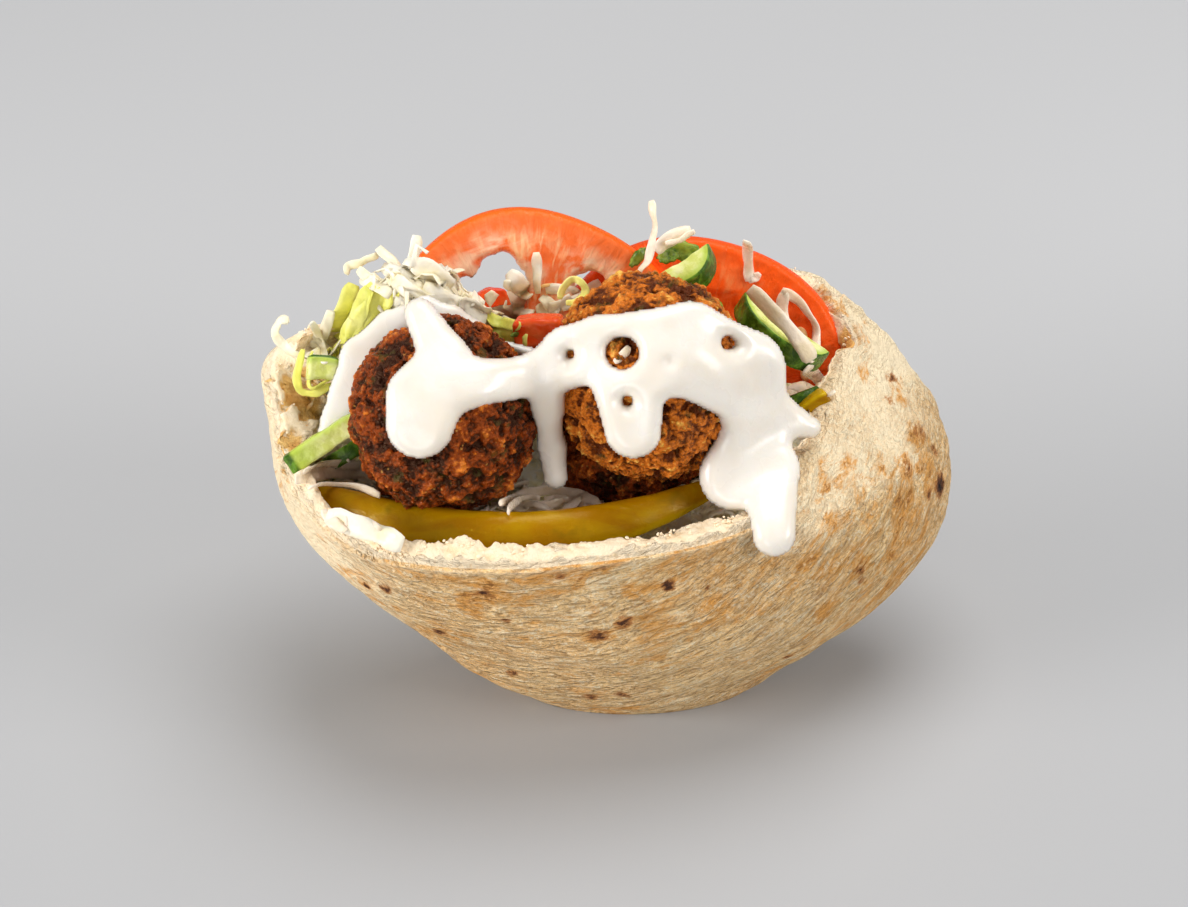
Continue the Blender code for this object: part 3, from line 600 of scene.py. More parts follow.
def finished(name, mesh, material, nodes=()):
    """Puts a mesh that was built in millimetres in its place, with its material, under the root body, and
    hides the given solids.
    """
    points = points_of(mesh) - np.array([*ORIGIN, 0.0])
    move_points(mesh, points * MM)
    mesh.shade_smooth()
    mesh.materials.append(material)
    obj = bpy.data.objects.new(name, mesh)
    bpy.context.scene.collection.objects.link(obj)
    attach(obj, "root")
    if nodes:
        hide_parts(*nodes)


def pour_eye():
    """The far end of the pour's line."""
    lift = math.radians(POUR_LIFT)
    return Vector(POUR_MIDDLE) + Vector((0, -math.cos(lift), math.sin(lift))) * POUR_REACH


def on_pour_plane(across, up):
    """A point of the plane square to the pour, through its middle."""
    lift = math.radians(POUR_LIFT)
    upward = Vector((0, math.sin(lift), math.cos(lift)))
    return Vector(POUR_MIDDLE) + Vector((1, 0, 0)) * across + upward * up


def tree_of_mesh(mesh):
    """A search tree over a mesh that is still in millimetres."""
    points = [v.co for v in mesh.vertices]
    return BVHTree.FromPolygons(points, [tuple(f.vertices) for f in mesh.polygons])


def tree_of_nodes(names):
    """A search tree over solids of the part, in millimetres of the building frame."""
    points, faces = [], []
    for name in names:
        start = len(points)
        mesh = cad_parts[name].data
        points += [v.co / MM + Vector((*ORIGIN, 0.0)) for v in mesh.vertices]
        faces += [[start + i for i in f.vertices] for f in mesh.polygons]
    return BVHTree.FromPolygons(points, faces)


def poured_onto(tree, across, up):
    """Where the pour's line through a point of its plane first meets the tree."""
    eye = pour_eye()
    return tree.ray_cast(eye, (on_pour_plane(across, up) - eye).normalized())[0]


def lift_onto(tree, across, up):
    """How far up the pour from its plane the tree is met there, or None."""
    hit = poured_onto(tree, across, up)
    if hit is None:
        return None
    eye = pour_eye()
    full = (on_pour_plane(across, up) - eye).length
    return (full - (hit - eye).length) / full * POUR_REACH


def put(points, centre, turn):
    """Turns points in the pour's frame, whose Z points back up the pour, and moves them."""
    x, y, z = (math.radians(d) for d in turn)
    own = Matrix.Rotation(z, 3, "Z") @ Matrix.Rotation(y, 3, "Y") @ Matrix.Rotation(x, 3, "X")
    matrix = np.array(Matrix.Rotation(math.radians(90.0 - POUR_LIFT), 3, "X") @ own)
    return points @ matrix.T + np.array(centre)


def flat_sheet(distance, low, high, cell):
    """A flat grid cut to where distance is negative, with its edge moved onto the outline."""
    width, depth = high[0] - low[0], high[1] - low[1]
    bm = bmesh.new()
    bmesh.ops.create_grid(
        bm, x_segments=round(width / cell), y_segments=round(depth / cell), size=0.5
    )
    bmesh.ops.scale(bm, verts=bm.verts, vec=(width, depth, 1.0))
    middle = ((low[0] + high[0]) / 2, (low[1] + high[1]) / 2, 0.0)
    bmesh.ops.translate(bm, verts=bm.verts, vec=middle)
    at = np.array([(v.co.x, v.co.y) for v in bm.verts])
    away = distance(at)
    outer = [v for v, gap in zip(bm.verts, away) if gap > 0.42 * cell]
    bmesh.ops.delete(bm, geom=outer, context="VERTS")
    while True:
        spare = [v for v in bm.verts if sum(e.is_boundary for e in v.link_edges) > 2]
        spare += [v for v in bm.verts if not v.link_faces]
        if not spare:
            break
        bmesh.ops.delete(bm, geom=list(set(spare)), context="VERTS")
    edge = [v for v in bm.verts if v.is_boundary]
    at = np.array([(v.co.x, v.co.y) for v in edge])
    step = 0.05
    for _ in range(4):
        here = distance(at)
        slope_x = (distance(at + (step, 0.0)) - here) / step
        slope_y = (distance(at + (0.0, step)) - here) / step
        size = np.maximum(slope_x**2 + slope_y**2, 0.2)
        at = at - np.stack([slope_x, slope_y], 1) * (here / size)[:, None]
    for vert, place in zip(edge, at):
        vert.co.x, vert.co.y = place
    return bm


def two_sided(bm, name):
    """The sheet and its mirror image below it, joined along the edge, and each side's sign."""
    side = bm.verts.layers.float.new("side")
    for vert in bm.verts:
        vert[side] = 1.0
    geometry = bm.verts[:] + bm.edges[:] + bm.faces[:]
    made = bmesh.ops.duplicate(bm, geom=geometry)["geom"]
    lower = [e for e in made if isinstance(e, bmesh.types.BMVert)]
    bmesh.ops.reverse_faces(bm, faces=[f for f in made if isinstance(f, bmesh.types.BMFace)])
    for vert in lower:
        vert[side] = -1.0
    edge = [v for v in bm.verts if v.is_boundary]
    for vert in edge:
        vert[side] = 0.0
    bmesh.ops.remove_doubles(bm, verts=edge, dist=1e-5)
    return mesh_from(bm, name)


def values_of(mesh, name):
    """The numbers stored for each vertex."""
    layer = mesh.attributes[name]
    values = np.empty(len(layer.data))
    layer.data.foreach_get("value", values)
    return values


def remeshed(mesh, voxel, name):
    """The same shape in an even mesh."""
    obj = bpy.data.objects.new("helper", mesh)
    bpy.context.scene.collection.objects.link(obj)
    even = obj.modifiers.new("even", "REMESH")
    even.mode = "VOXEL"
    even.voxel_size = voxel
    graph = bpy.context.evaluated_depsgraph_get()
    made = bpy.data.meshes.new_from_object(obj.evaluated_get(graph))
    made.name = name
    bpy.data.objects.remove(obj, do_unlink=True)
    return made


def smoothed(mesh, rounds, factor=0.5):
    """The mesh after some rounds of smoothing."""
    bm = bmesh.new()
    bm.from_mesh(mesh)
    for _ in range(rounds):
        bmesh.ops.smooth_vert(
            bm, verts=bm.verts, factor=factor, use_axis_x=True, use_axis_y=True, use_axis_z=True
        )
    bm.to_mesh(mesh)
    bm.free()
    return mesh


# ---- material helpers ----


class Shades:
    """Short calls for building one material's or group's nodes."""

    def __init__(self, tree):
        self.tree = tree

    def node(self, kind, inputs=(), **settings):
        made = self.tree.nodes.new(kind)
        for key, value in settings.items():
            setattr(made, key, value)
        for key, value in dict(inputs).items():
            self.feed(made.inputs[key], value)
        return made

    def feed(self, socket, value):
        if isinstance(value, bpy.types.NodeSocket):
            self.tree.links.new(value, socket)
        else:
            socket.default_value = value

    def place(self):
        return self.node("ShaderNodeTexCoord").outputs["Object"]

    def attribute(self, name):
        return self.node("ShaderNodeAttribute", attribute_name=name).outputs["Fac"]

    def turned(self, vector, turn=(0, 0, 0), scale=(1, 1, 1), shift=(0, 0, 0)):
        """The vector turned, then scaled and shifted."""
        turned = self.node("ShaderNodeMapping", {"Vector": vector, "Rotation": turn}).outputs[0]
        inputs = {"Vector": turned, "Scale": scale, "Location": shift}
        return self.node("ShaderNodeMapping", inputs).outputs[0]

    def warped(self, vector, scale, amount):
        """The vector pushed about by a noise, up to about half the amount each way."""
        made = self.node("ShaderNodeTexNoise", {"Vector": vector, "Scale": scale})
        inputs = {0: made.outputs["Color"], 1: (amount,) * 3, 2: vector}
        return self.node("ShaderNodeVectorMath", inputs, operation="MULTIPLY_ADD").outputs[0]

    def folded(self, vector):
        """The vector with its height measured from the curve that the folds follow."""
        x, y, z = self.node("ShaderNodeSeparateXYZ", {0: vector}).outputs
        slope = self.plus(self.times(x, FOLD_BEND), FOLD_RISE)
        height = self.less(z, self.times(x, slope))
        return self.node("ShaderNodeCombineXYZ", {0: x, 1: y, 2: height}).outputs[0]

    def valleys(self, vector):
        """Distance of a noise from its middle level, 0 along thin wandering lines."""
        away = self.less(self.noise(vector, 1.0, 2.0, 0.55, 0.3), 0.5)
        return self.math("ABSOLUTE", away)

    def noise(self, vector, scale, detail=3.0, roughness=0.5, distortion=0.0):
        inputs = {
            "Vector": vector,
            "Scale": scale,
            "Detail": detail,
            "Roughness": roughness,
            "Distortion": distortion,
        }
        return self.node("ShaderNodeTexNoise", inputs).outputs[0]

    def grains(self, vector, scale, feature="F1"):
        """Distance to the nearest of scattered grains, or to the edge between two."""
        inputs = {"Vector": vector, "Scale": scale}
        return self.node("ShaderNodeTexVoronoi", inputs, feature=feature).outputs["Distance"]

    def range(self, value, low, high, to_low=0.0, to_high=1.0):
        inputs = {0: value, 1: low, 2: high, 3: to_low, 4: to_high}
        made = self.node("ShaderNodeMapRange", inputs, interpolation_type="SMOOTHSTEP")
        return made.outputs[0]

    def math(self, operation, a, b=0.0):
        return self.node("ShaderNodeMath", {0: a, 1: b}, operation=operation).outputs[0]

    def plus(self, a, b):
        return self.math("ADD", a, b)

    def less(self, a, b):
        return self.math("SUBTRACT", a, b)

    def times(self, a, b):
        return self.math("MULTIPLY", a, b)

    def mix(self, factor, a, b):
        made = self.node("ShaderNodeMix", data_type="RGBA")
        self.feed(made.inputs["Factor"], factor)
        self.feed(made.inputs["A"], a)
        self.feed(made.inputs["B"], b)
        return made.outputs["Result"]

    def bump(self, height, distance, strength):
        inputs = {"Height": height, "Distance": distance, "Strength": strength}
        return self.node("ShaderNodeBump", inputs).outputs[0]

    def group(self, tree, inputs):
        """The first output of a node group."""
        return self.node("ShaderNodeGroup", inputs, node_tree=tree).outputs[0]


def new_material(name, fixed):
    """A material with a Principled shader whose fixed settings are given, and its helper."""
    material = bpy.data.materials.new(name)
    material.use_nodes = True
    shader = material.node_tree.nodes["Principled BSDF"]
    for key, value in fixed.items():
        shader.inputs[key].default_value = value
    return material, Shades(material.node_tree)


def dressed(material, s, colour, roughness=None, normal=None):
    """The material, with what its shader takes from the nodes."""
    shader = material.node_tree.nodes["Principled BSDF"]
    for key, value in (("Base Color", colour), ("Roughness", roughness), ("Normal", normal)):
        if value is not None:
            s.feed(shader.inputs[key], value)
    return material


def colours():
    return bpy.context.scene.pita_colours


def sizes():
    return bpy.context.scene.pita_sizes


# ---- bread ----


def bread_rings():
    """Height, depth, share of the way out from the middle, and zone of each ring."""
    rings = [(0.0, 0.0, share, 0.0) for share in (0.0, 0.3, 0.55, 0.75, 0.9)]
    for low, high, shallow, deep, count, zone_from, zone_to in BREAD_RUNS:
        for t in np.linspace(0.0, 1.0, count):
            height, depth = low + (high - low) * t, (shallow + (deep - shallow) * t) * WALL
            rings.append((height, depth, 1.0, zone_from + (zone_to - zone_from) * t))
    rings += [(0.04, WALL, share, 2.0) for share in (0.75, 0.5, 0.25, 0.0)]
    return np.array(rings)


def ring_grid(sides, rings, name):
    """A grid to be rolled into a tube, with each vertex's number round and along it."""
    bm = bmesh.new()
    bmesh.ops.create_grid(bm, x_segments=sides, y_segments=rings - 1, size=0.5)
    mesh = mesh_from(bm, name)
    points = points_of(mesh) + 0.5
    side = np.rint(points[:, 0] * sides) % sides
    ring = np.rint(points[:, 1] * (rings - 1)).astype(int)
    return mesh, side.astype(int), ring


def merged(mesh, distance=1e-5):
    """The mesh with doubles merged and its faces turned outward."""
    bm = bmesh.new()
    bm.from_mesh(mesh)
    bmesh.ops.remove_doubles(bm, verts=bm.verts, dist=distance)
    bmesh.ops.recalc_face_normals(bm, faces=bm.faces)
    bm.to_mesh(mesh)
    bm.free()
    return mesh


def skin_wrinkles(points):
    """Folds that follow the pouch's sweep, in waves of about 3 mm and of 8 mm."""
    x = points[:, 0]
    up = points[:, 2] - x * (FOLD_RISE + FOLD_BEND * MM * x)
    bent = up + 1.8 * waves(points, 16.0, 3.0)
    place = np.stack([x / 9.0, bent / 2.8, points[:, 1] / 10.0], 1)
    broad = np.stack([x / 24.0, bent / 8.0, points[:, 1] / 22.0], 1)
    return 1.0 - 2.2 * np.abs(waves(place, 1.0, 1.0)) + 2.2 * waves(broad, 1.0, 2.0)


def spread_round(angle, rows):
    """The sum of soft bumps at angles round the rim: angle, spread of angle, size."""
    total = np.zeros(len(angle))
    for middle, spread, reach in rows:
        away = (angle - middle + math.pi) % math.tau - math.pi
        total += reach * np.exp(-((away / spread) ** 2))
    return total


def rim_lip(angle):
    """How far the torn edge hangs inwards at each angle round the rim."""
    return spread_round(angle, RIM_LIPS)


def rim_fold(angle, base):
    """How far the skin folds inwards at each angle, with a ragged edge, and where it does."""
    fold = spread_round(angle, RIM_FOLDS)
    cover = smoothstep(0.6, 2.6, fold)
    return fold + cover * (0.9 * lumps(base, 5.0, 4, 21.0) + 0.5 * waves(base, 2.0, 22.0)), cover


def floury(points, height):
    """How pale and floury the skin is: most at the left end and above the right end."""
    left = smoothstep(-34.0, -66.0, points[:, 0] + 9 * waves(points, 14.0, 5.0))
    right = smoothstep(26.0, 62.0, points[:, 0] + 9 * waves(points, 12.0, 6.0))
    high = smoothstep(0.80, 0.99, height + 0.10 * waves(points, 10.0, 7.0))
    far = smoothstep(10.0, 30.0, points[:, 1])
    return np.clip(0.9 * left + 0.9 * right * high + 0.35 * far, 0.0, 1.0)


def spots_near(points, tree, spots, far, near, ragged=0.0):
    """The strongest of the spots at each point, fading from near to far in radii."""
    strength = np.zeros(len(points))
    rough = ragged * lumps(points, 3.0, 3, 31.0) if ragged else 0.0
    for across, up, radius, most in spots:
        hit = poured_onto(tree, across, up)
        if hit is not None:
            away = np.linalg.norm(points - np.array(hit), axis=1) / radius + rough
            strength = np.maximum(strength, most * smoothstep(far, near, away))
    return strength


def bread_mesh():
    """The pouch in one closed mesh, with numbers for the zone, torn pits, scorching, golden patches and
    flour.
    """
    rings = bread_rings()
    mesh, side, ring = ring_grid(BREAD_SIDES, len(rings), "pita_bread")
    height, depth, share, zone = rings[ring].T
    angle = math.tau * (side / BREAD_SIDES + 0.25)
    base = outside(height, angle)
    facing = outward(height, angle)
    swell = BREAD_WAVE * waves(base, BREAD_WAVE_LENGTH) * np.minimum(1.0, 6.0 * height)
    points = base + facing * (swell - depth)[:, None]
    inward = np.clip(depth / WALL, 0.0, 1.0)
    lip = rim_lip(angle) * smoothstep(0.4, 1.0, inward) * smoothstep(0.70, 1.0, height)
    fold, cover = rim_fold(angle, base)
    bare = inward < 0.01
    path = np.where(bare, 0.3 * smoothstep(0.80, 1.0, height), 0.3 + 0.7 * inward)
    path = path * np.where(inward > 0.99, smoothstep(0.90, 1.0, height), 1.0)
    points -= facing * (lip * (share == 1.0))[:, None]
    points -= level(facing) * (fold * path * (share == 1.0))[:, None]
    points[:, 2] -= LIP_SLOPE * np.maximum(lip, 0.0) * (share == 1.0)
    low = np.where(bare, smoothstep(0.84, 1.0, height), (1 - inward) ** 2)
    swollen = FOLD_SWELL * np.sin(np.pi * inward) - FOLD_SWELL * low + FOLD_LIFT * inward
    points[:, 2] += cover * swollen * (share == 1.0)
    top = height > 0.97
    across_rim = (inward > 0.0) & (inward < 1.0)
    zone = np.where(across_rim, smoothstep(0.1, CRUST_SHARE + 0.1, inward), zone)
    zone = np.where(top, zone * (1 - cover * smoothstep(1.0, 0.8, inward)), zone)
    inner = depth >= WALL * 0.99
    points[inner, 2] = np.maximum(points[inner, 2], WALL)
    middle = np.array(FOOT_MIDDLE)
    points[:, :2] = middle + (points[:, :2] - middle) * share[:, None]
    points[share < 1.0, 2] = np.where(zone[share < 1.0] > 1, WALL, 0.0)

    skin = (zone < 0.5) & (share == 1.0)
    wrinkles = np.zeros(len(points))
    wrinkles[skin] = skin_wrinkles(points[skin])
    fade = np.minimum(1.0, 12.0 * height) * np.where(height > 0.97, 0.4, 1.0)
    points += facing * (wrinkles * fade * sizes().wrinkle / MM)[:, None]

    crumb = smoothstep(0.5, 0.9, zone) * smoothstep(2.0, 1.3, zone)
    torn_line = inward * (zone < 1.25)
    stand = np.zeros(len(points))
    fuzz = np.zeros(len(points))
    rough = crumb > 0.01
    near = points[rough]
    stand[rough] = 0.55 * lumps(near, 5.0, 4, 4.0) + 0.5 * waves(near, 1.7, 6.0)
    fuzz[rough] = 0.8 * lumps(near, 1.5, 3, 8.0)
    crown = RIM_CROWN * np.sin(np.pi * (inward * 0.75 + 0.1))
    crown = crown * np.where(zone < 1.0, 1.0, smoothstep(1.3, 1.0, zone))
    crumb_size = sizes().crumb / MM
    tall = 1.0 + 1.2 * np.clip(torn_line, 0, 1) ** 3
    points[:, 2] += crown * crumb + stand * crumb_size * tall * crumb * (zone < 1.4)
    points += facing * (fuzz * crumb * 0.45)[:, None]
    move_points(mesh, points)
    tree = tree_of_mesh(mesh)
    torn = spots_near(points, tree, TORN_PITS, 1.15, 0.55, 0.8) * (zone > 0.7)
    points += facing * (torn * (1.0 + 0.5 * lumps(points, 2.2, 3, 11.0)))[:, None]
    move_points(mesh, points)
    paint(mesh, "zone", zone)
    paint(mesh, "torn", np.clip(torn / 1.6, 0, 1))
    paint(mesh, "scorch", spots_near(points, tree, SCORCH_SPOTS, 1.9, 0.2) * (zone < 0.6))
    paint(mesh, "golden", spots_near(points, tree, GOLDEN_SPOTS, 1.9, 0.1, 0.5))
    paint(mesh, "floury", floury(points, height))
    return merged(mesh)


def torn_crumb_mesh():
    """The fluffy torn crumb that stands along the rim, in one ring with much finer relief."""
    mesh, side, ring = ring_grid(TORN_SIDES, TORN_RINGS, "torn_crumb")
    angle = math.tau * (ring % (TORN_RINGS - 1)) / (TORN_RINGS - 1)
    turn = math.tau * side / TORN_SIDES
    top = np.ones(len(angle))
    base = outside(top, angle)
    facing = outward(top, angle)
    swell = BREAD_WAVE * waves(base, BREAD_WAVE_LENGTH)
    base = base + facing * swell[:, None]
    inward, upward = np.cos(turn), np.sin(turn)
    tuft = smoothstep(-0.05, 0.45, waves(base, 9.0, 15.0))
    inside = np.clip(inward, 0, 1)
    lip = rim_lip(angle) * smoothstep(-0.3, 0.8, inward) * (1 + 0.3 * waves(base, 5.0, 18.0))
    fold, cover = rim_fold(angle, base)
    span = (1 - CRUST_SHARE) / 2
    deep = WALL * (1.005 - span + span * inward) + lip + tuft * 1.3 * inside
    edge = WALL * (0.94 + 0.08 * inward) + tuft * 0.8 * inside
    deep = deep + (edge - deep) * cover
    rise = np.where(upward > 0, 1.25, 3.6) * upward + RIM_CROWN * (0.35 + 0.3 * inward)
    rise = rise * (1 - 0.5 * cover) + FOLD_LIFT * cover
    points = base - facing * deep[:, None] - level(facing) * (0.95 * fold)[:, None]
    points[:, 2] += rise + 0.5 * tuft * inside - LIP_SLOPE * np.maximum(lip, 0.0)
    push = -facing * inward[:, None] + np.array([0.0, 0.0, 1.0]) * upward[:, None]
    broad = lumps(points, 4.6, 4, 12.0)
    fluff = np.abs(waves(points, 1.5, 13.0)) + 0.6 * np.abs(waves(points, 0.75, 14.0))
    near = cells(points, 1.9, 16.0)
    size = sizes().crumb / MM
    strength = (0.45 + 0.75 * np.clip(inward, -0.4, 1)) * np.where(upward > -0.5, 1.0, 0.4)
    relief = 0.7 * broad + 0.55 * fluff + 0.75 * (0.5 - near) - 0.35
    points = points + push * (relief * size * strength)[:, None]
    move_points(mesh, points)
    tree = tree_of_mesh(mesh)
    torn = spots_near(points, tree, TORN_PITS, 1.15, 0.55, 0.8)
    torn *= 1.0 + 0.6 * lumps(points, 2.4, 3, 17.0)
    move_points(mesh, points - push * (1.3 * torn)[:, None])
    paint(mesh, "stand", relief)
    golden = spots_near(points, tree, GOLDEN_SPOTS, 1.9, 0.1, 0.5)
    paint(mesh, "torn", np.clip(np.maximum(torn / 1.5, golden * 0.8), 0, 1))
    return merged(mesh)


def crumb_tones():
    """The shared colouring of torn crumb: pale, deeper in its gaps as painted shade, and golden where
    torn.
    """
    if "crumb_tones" in bpy.data.node_groups:
        return bpy.data.node_groups["crumb_tones"]
    tree = bpy.data.node_groups.new("crumb_tones", "ShaderNodeTree")
    for name, kind in (
        ("Vector", "NodeSocketVector"),
        ("Gap", "NodeSocketFloat"),
        ("Torn", "NodeSocketFloat"),
        ("Crumb", "NodeSocketColor"),
        ("Golden", "NodeSocketColor"),
    ):
        tree.interface.new_socket(name, in_out="INPUT", socket_type=kind)
    tree.interface.new_socket("Colour", in_out="OUTPUT", socket_type="NodeSocketColor")
    s = Shades(tree)
    given = s.node("NodeGroupInput").outputs
    tone = s.noise(given["Vector"], 260.0, 4.0, 0.6)
    # deeper serves both the crumb's random tone and the painted shade in its gaps
    deeper = s.mix(0.5, given["Crumb"], given["Golden"])
    colour = s.mix(s.range(tone, 0.38, 0.70, 0.0, 0.32), given["Crumb"], deeper)
    # painted shade: darker in the gaps
    colour = s.mix(s.times(given["Gap"], 0.7), colour, deeper)
    gold = s.mix(s.range(tone, 0.42, 0.62, 0.0, 0.6), given["Golden"], (0.72, 0.32, 0.07, 1))
    colour = s.mix(s.range(given["Torn"], 0.1, 0.6), colour, gold)
    s.feed(s.node("NodeGroupOutput").inputs["Colour"], colour)
    return tree


def torn_crumb_material():
    """Soft white crumb, a little golden where it was torn deepest."""
    c = colours()
    material, s = new_material("torn_crumb", {"Roughness": 0.9, "Specular IOR Level": 0.15})
    place = s.place()
    fine = s.noise(place, 1500.0, 3.0, 0.6)
    # painted shade: the crumb is darker where its relief is low
    colour = s.group(
        crumb_tones(),
        {
            "Vector": place,
            "Gap": s.range(s.attribute("stand"), 0.0, -0.8),
            "Torn": s.attribute("torn"),
            "Crumb": tuple(c.crumb),
            "Golden": tuple(c.pocket),
        },
    )
    relief = s.bump(fine, 0.0006, 0.8)
    return dressed(material, s, colour, None, relief)


def bread_material():
    """Dry, floury skin: folds, toasted flecks, painted crease shade and light; pale torn crumb; golden
    pocket.
    """
    c = colours()
    material, s = new_material("pita_bread", {"Roughness": 0.8, "Specular IOR Level": 0.2})
    place = s.place()
    zone, floury = s.attribute("zone"), s.attribute("floury")
    torn, scorch = s.attribute("torn"), s.attribute("scorch")
    curved = s.folded(s.warped(place, 70.0, 0.004))
    close = s.folded(s.warped(place, 420.0, 0.0012))
    ridges = s.valleys(s.turned(curved, scale=(110, 220, 430)))
    small = s.valleys(s.turned(close, scale=(240, 400, 900)))
    creased = s.noise(s.turned(curved, scale=(80, 220, 520)), 1.0, 6.0, 0.7, 0.3)
    broken = s.noise(s.turned(place, shift=(2, 7, 4)), 170.0, 3.0, 0.6)
    wide = s.noise(place, 34.0, 4.0, 0.6, 0.6)
    mottle = s.noise(s.turned(curved, scale=(100, 150, 230)), 1.0, 6.0, 0.68, 0.5)
    where = s.noise(s.turned(place, shift=(5, 3, 1)), 24.0, 3.0, 0.55)
    ragged = s.noise(s.turned(close, scale=(520, 700, 900)), 1.0, 4.0, 0.65)
    grain = s.noise(place, 1500.0, 3.0, 0.65)
    dust = s.noise(place, 620.0, 4.0, 0.7)
    bare = s.range(floury, 0.1, 0.9, 1.0, 0.25)
    folds = s.times(s.range(ridges, 0.045, 0.005), s.range(broken, 0.40, 0.54))
    nicks = s.times(s.range(small, 0.05, 0.005), s.range(broken, 0.62, 0.46))

    tan = s.mix(s.range(wide, 0.36, 0.66), tuple(c.skin), (0.97, 0.66, 0.31, 1))
    # painted shade: thin dark lines along the bottoms of the folds and nicks
    lines = s.plus(s.times(folds, 0.60), s.times(nicks, 0.45))
    skin = s.mix(s.times(lines, bare), tan, (0.34, 0.17, 0.06, 1))
    # painted shade: darker where the creases are low
    skin = s.mix(s.range(creased, 0.50, 0.36, 0.0, 0.50), skin, (0.50, 0.27, 0.11, 1))
    # flour specks and floury parts, paler on the crests of the creases as painted light and less pale
    # along the crease lines as painted shade
    pale = s.plus(s.range(grain, 0.50, 0.64, 0.0, 0.55), s.range(dust, 0.52, 0.66, 0.0, 0.6))
    pale = s.plus(pale, s.range(creased, 0.52, 0.66, 0.0, 0.5))
    pale = s.times(pale, s.range(ridges, 0.01, 0.09, 0.4, 1.0))
    pale = s.plus(pale, s.times(floury, 0.85))
    skin = s.mix(s.math("MINIMUM", pale, 0.92), skin, tuple(c.flour))
    # painted shade: darker in the fine grain's low spots
    dark = s.times(s.range(grain, 0.44, 0.34, 0.0, 0.3), bare)
    skin = s.mix(dark, skin, (0.42, 0.22, 0.085, 1))
    toasted = s.plus(mottle, s.range(where, 0.35, 0.65, -0.11, 0.02))
    toasted = s.less(toasted, s.times(floury, 0.05))
    toasted = s.plus(toasted, s.times(s.attribute("golden"), 0.21))
    gold = s.times(s.range(toasted, 0.47, 0.62), s.range(ragged, 0.34, 0.54, 0.35, 1.0))
    skin = s.mix(s.times(gold, 0.9), skin, (0.80, 0.36, 0.075, 1))
    brown = s.times(s.range(toasted, 0.62, 0.70), s.range(ragged, 0.4, 0.56))
    skin = s.mix(s.times(brown, 0.8), skin, tuple(c.toast))
    burn = s.plus(scorch, s.times(s.less(ragged, 0.5), 1.5))
    burn = s.times(burn, s.range(scorch, 0.02, 0.25, 0.0, 0.85))
    skin = s.mix(s.range(burn, 0.12, 0.42, 0.0, 0.9), skin, (0.50, 0.20, 0.055, 1))
    skin = s.mix(s.range(burn, 0.40, 0.60), skin, (0.13, 0.045, 0.018, 1))
    skin = s.mix(s.range(burn, 0.62, 0.90), skin, (0.018, 0.010, 0.007, 1))

    # painted shade in the crumb's gaps, where the dust relief is low
    crumb = s.group(
        crumb_tones(),
        {
            "Vector": place,
            "Gap": s.range(dust, 0.50, 0.32),
            "Torn": torn,
            "Crumb": tuple(c.crumb),
            "Golden": tuple(c.pocket),
        },
    )
    inside = s.mix(s.range(mottle, 0.42, 0.62), (0.92, 0.70, 0.40, 1), tuple(c.pocket))
    inner = s.mix(s.range(zone, 1.45, 1.95), crumb, inside)
    colour = s.mix(s.range(zone, 0.08, 0.4), skin, inner)

    height = s.plus(s.range(ridges, 0.0, 0.12, 0.0, 0.6), s.range(small, 0.0, 0.1, 0.0, 0.3))
    height = s.plus(height, s.times(creased, 1.4))
    height = s.times(height, s.plus(s.times(bare, 0.7), 0.3))
    height = s.plus(height, s.times(dust, 0.7))
    height = s.plus(height, s.times(grain, 0.45))
    rough = s.range(grain, 0.2, 0.8, 0.72, 0.92)
    return dressed(material, s, colour, rough, s.bump(height, 0.0011, 1.0))


class PITA_OT_bread(bpy.types.Operator):
    """Make the pita pouch: baked skin, torn rim and pocket"""

    bl_idname = "pita.bread"
    bl_label = "Bread"

    def execute(self, context):
        finished("pita_bread", bread_mesh(), bread_material(), ("pita",))
        finished("torn_crumb", torn_crumb_mesh(), torn_crumb_material())
        return {"FINISHED"}


# ---- falafel ----


def falafel_mesh(name, centre, radii, seed, subdivisions):
    """A fried ball with a crust of coarse crumbs, and how far each point stands out."""
    bm = bmesh.new()
    bmesh.ops.create_icosphere(bm, subdivisions=subdivisions, radius=1.0)
    mesh = mesh_from(bm, name)
    facing = unit(points_of(mesh))
    bulge = np.array(
        [
            noise.noise(Vector(f) * 2.1 + Vector((seed, 0, 0)))
            + 0.5 * noise.noise(Vector(f) * 5.3 + Vector((0, seed, 0)))
            for f in facing
        ]
    )
    ball = facing * np.array(radii) + facing * (0.9 * bulge)[:, None]
    bend = [waves(ball, 3.0, seed + 10 * axis) for axis in (1, 2, 3)]
    bent = ball + 1.5 * np.stack(bend, 1)
    big, small = cells(bent, 3.1, seed), cells(bent, 1.35, seed + 1)
    rough = lumps(ball, 4.2, 5, seed + 2)
    sharp = np.abs(lumps(bent, 2.1, 4, seed + 3))
    crusty = smoothstep(-0.3, 0.3, waves(ball, 7.0, seed + 5))
    pits = smoothstep(0.18, 0.5, waves(bent, 3.6, seed + 6))
    crumb = 0.85 * rough + (0.35 + 0.8 * crusty) * (0.5 - big) + 0.6 * (0.45 - small)
    crumb += 0.55 * (0.35 - sharp) - 0.9 * pits
    size = sizes().crust / MM
    points = ball + facing * (crumb * size)[:, None] + np.array(centre)
    move_points(mesh, points)
    paint(mesh, "crumb", crumb)
    return mesh


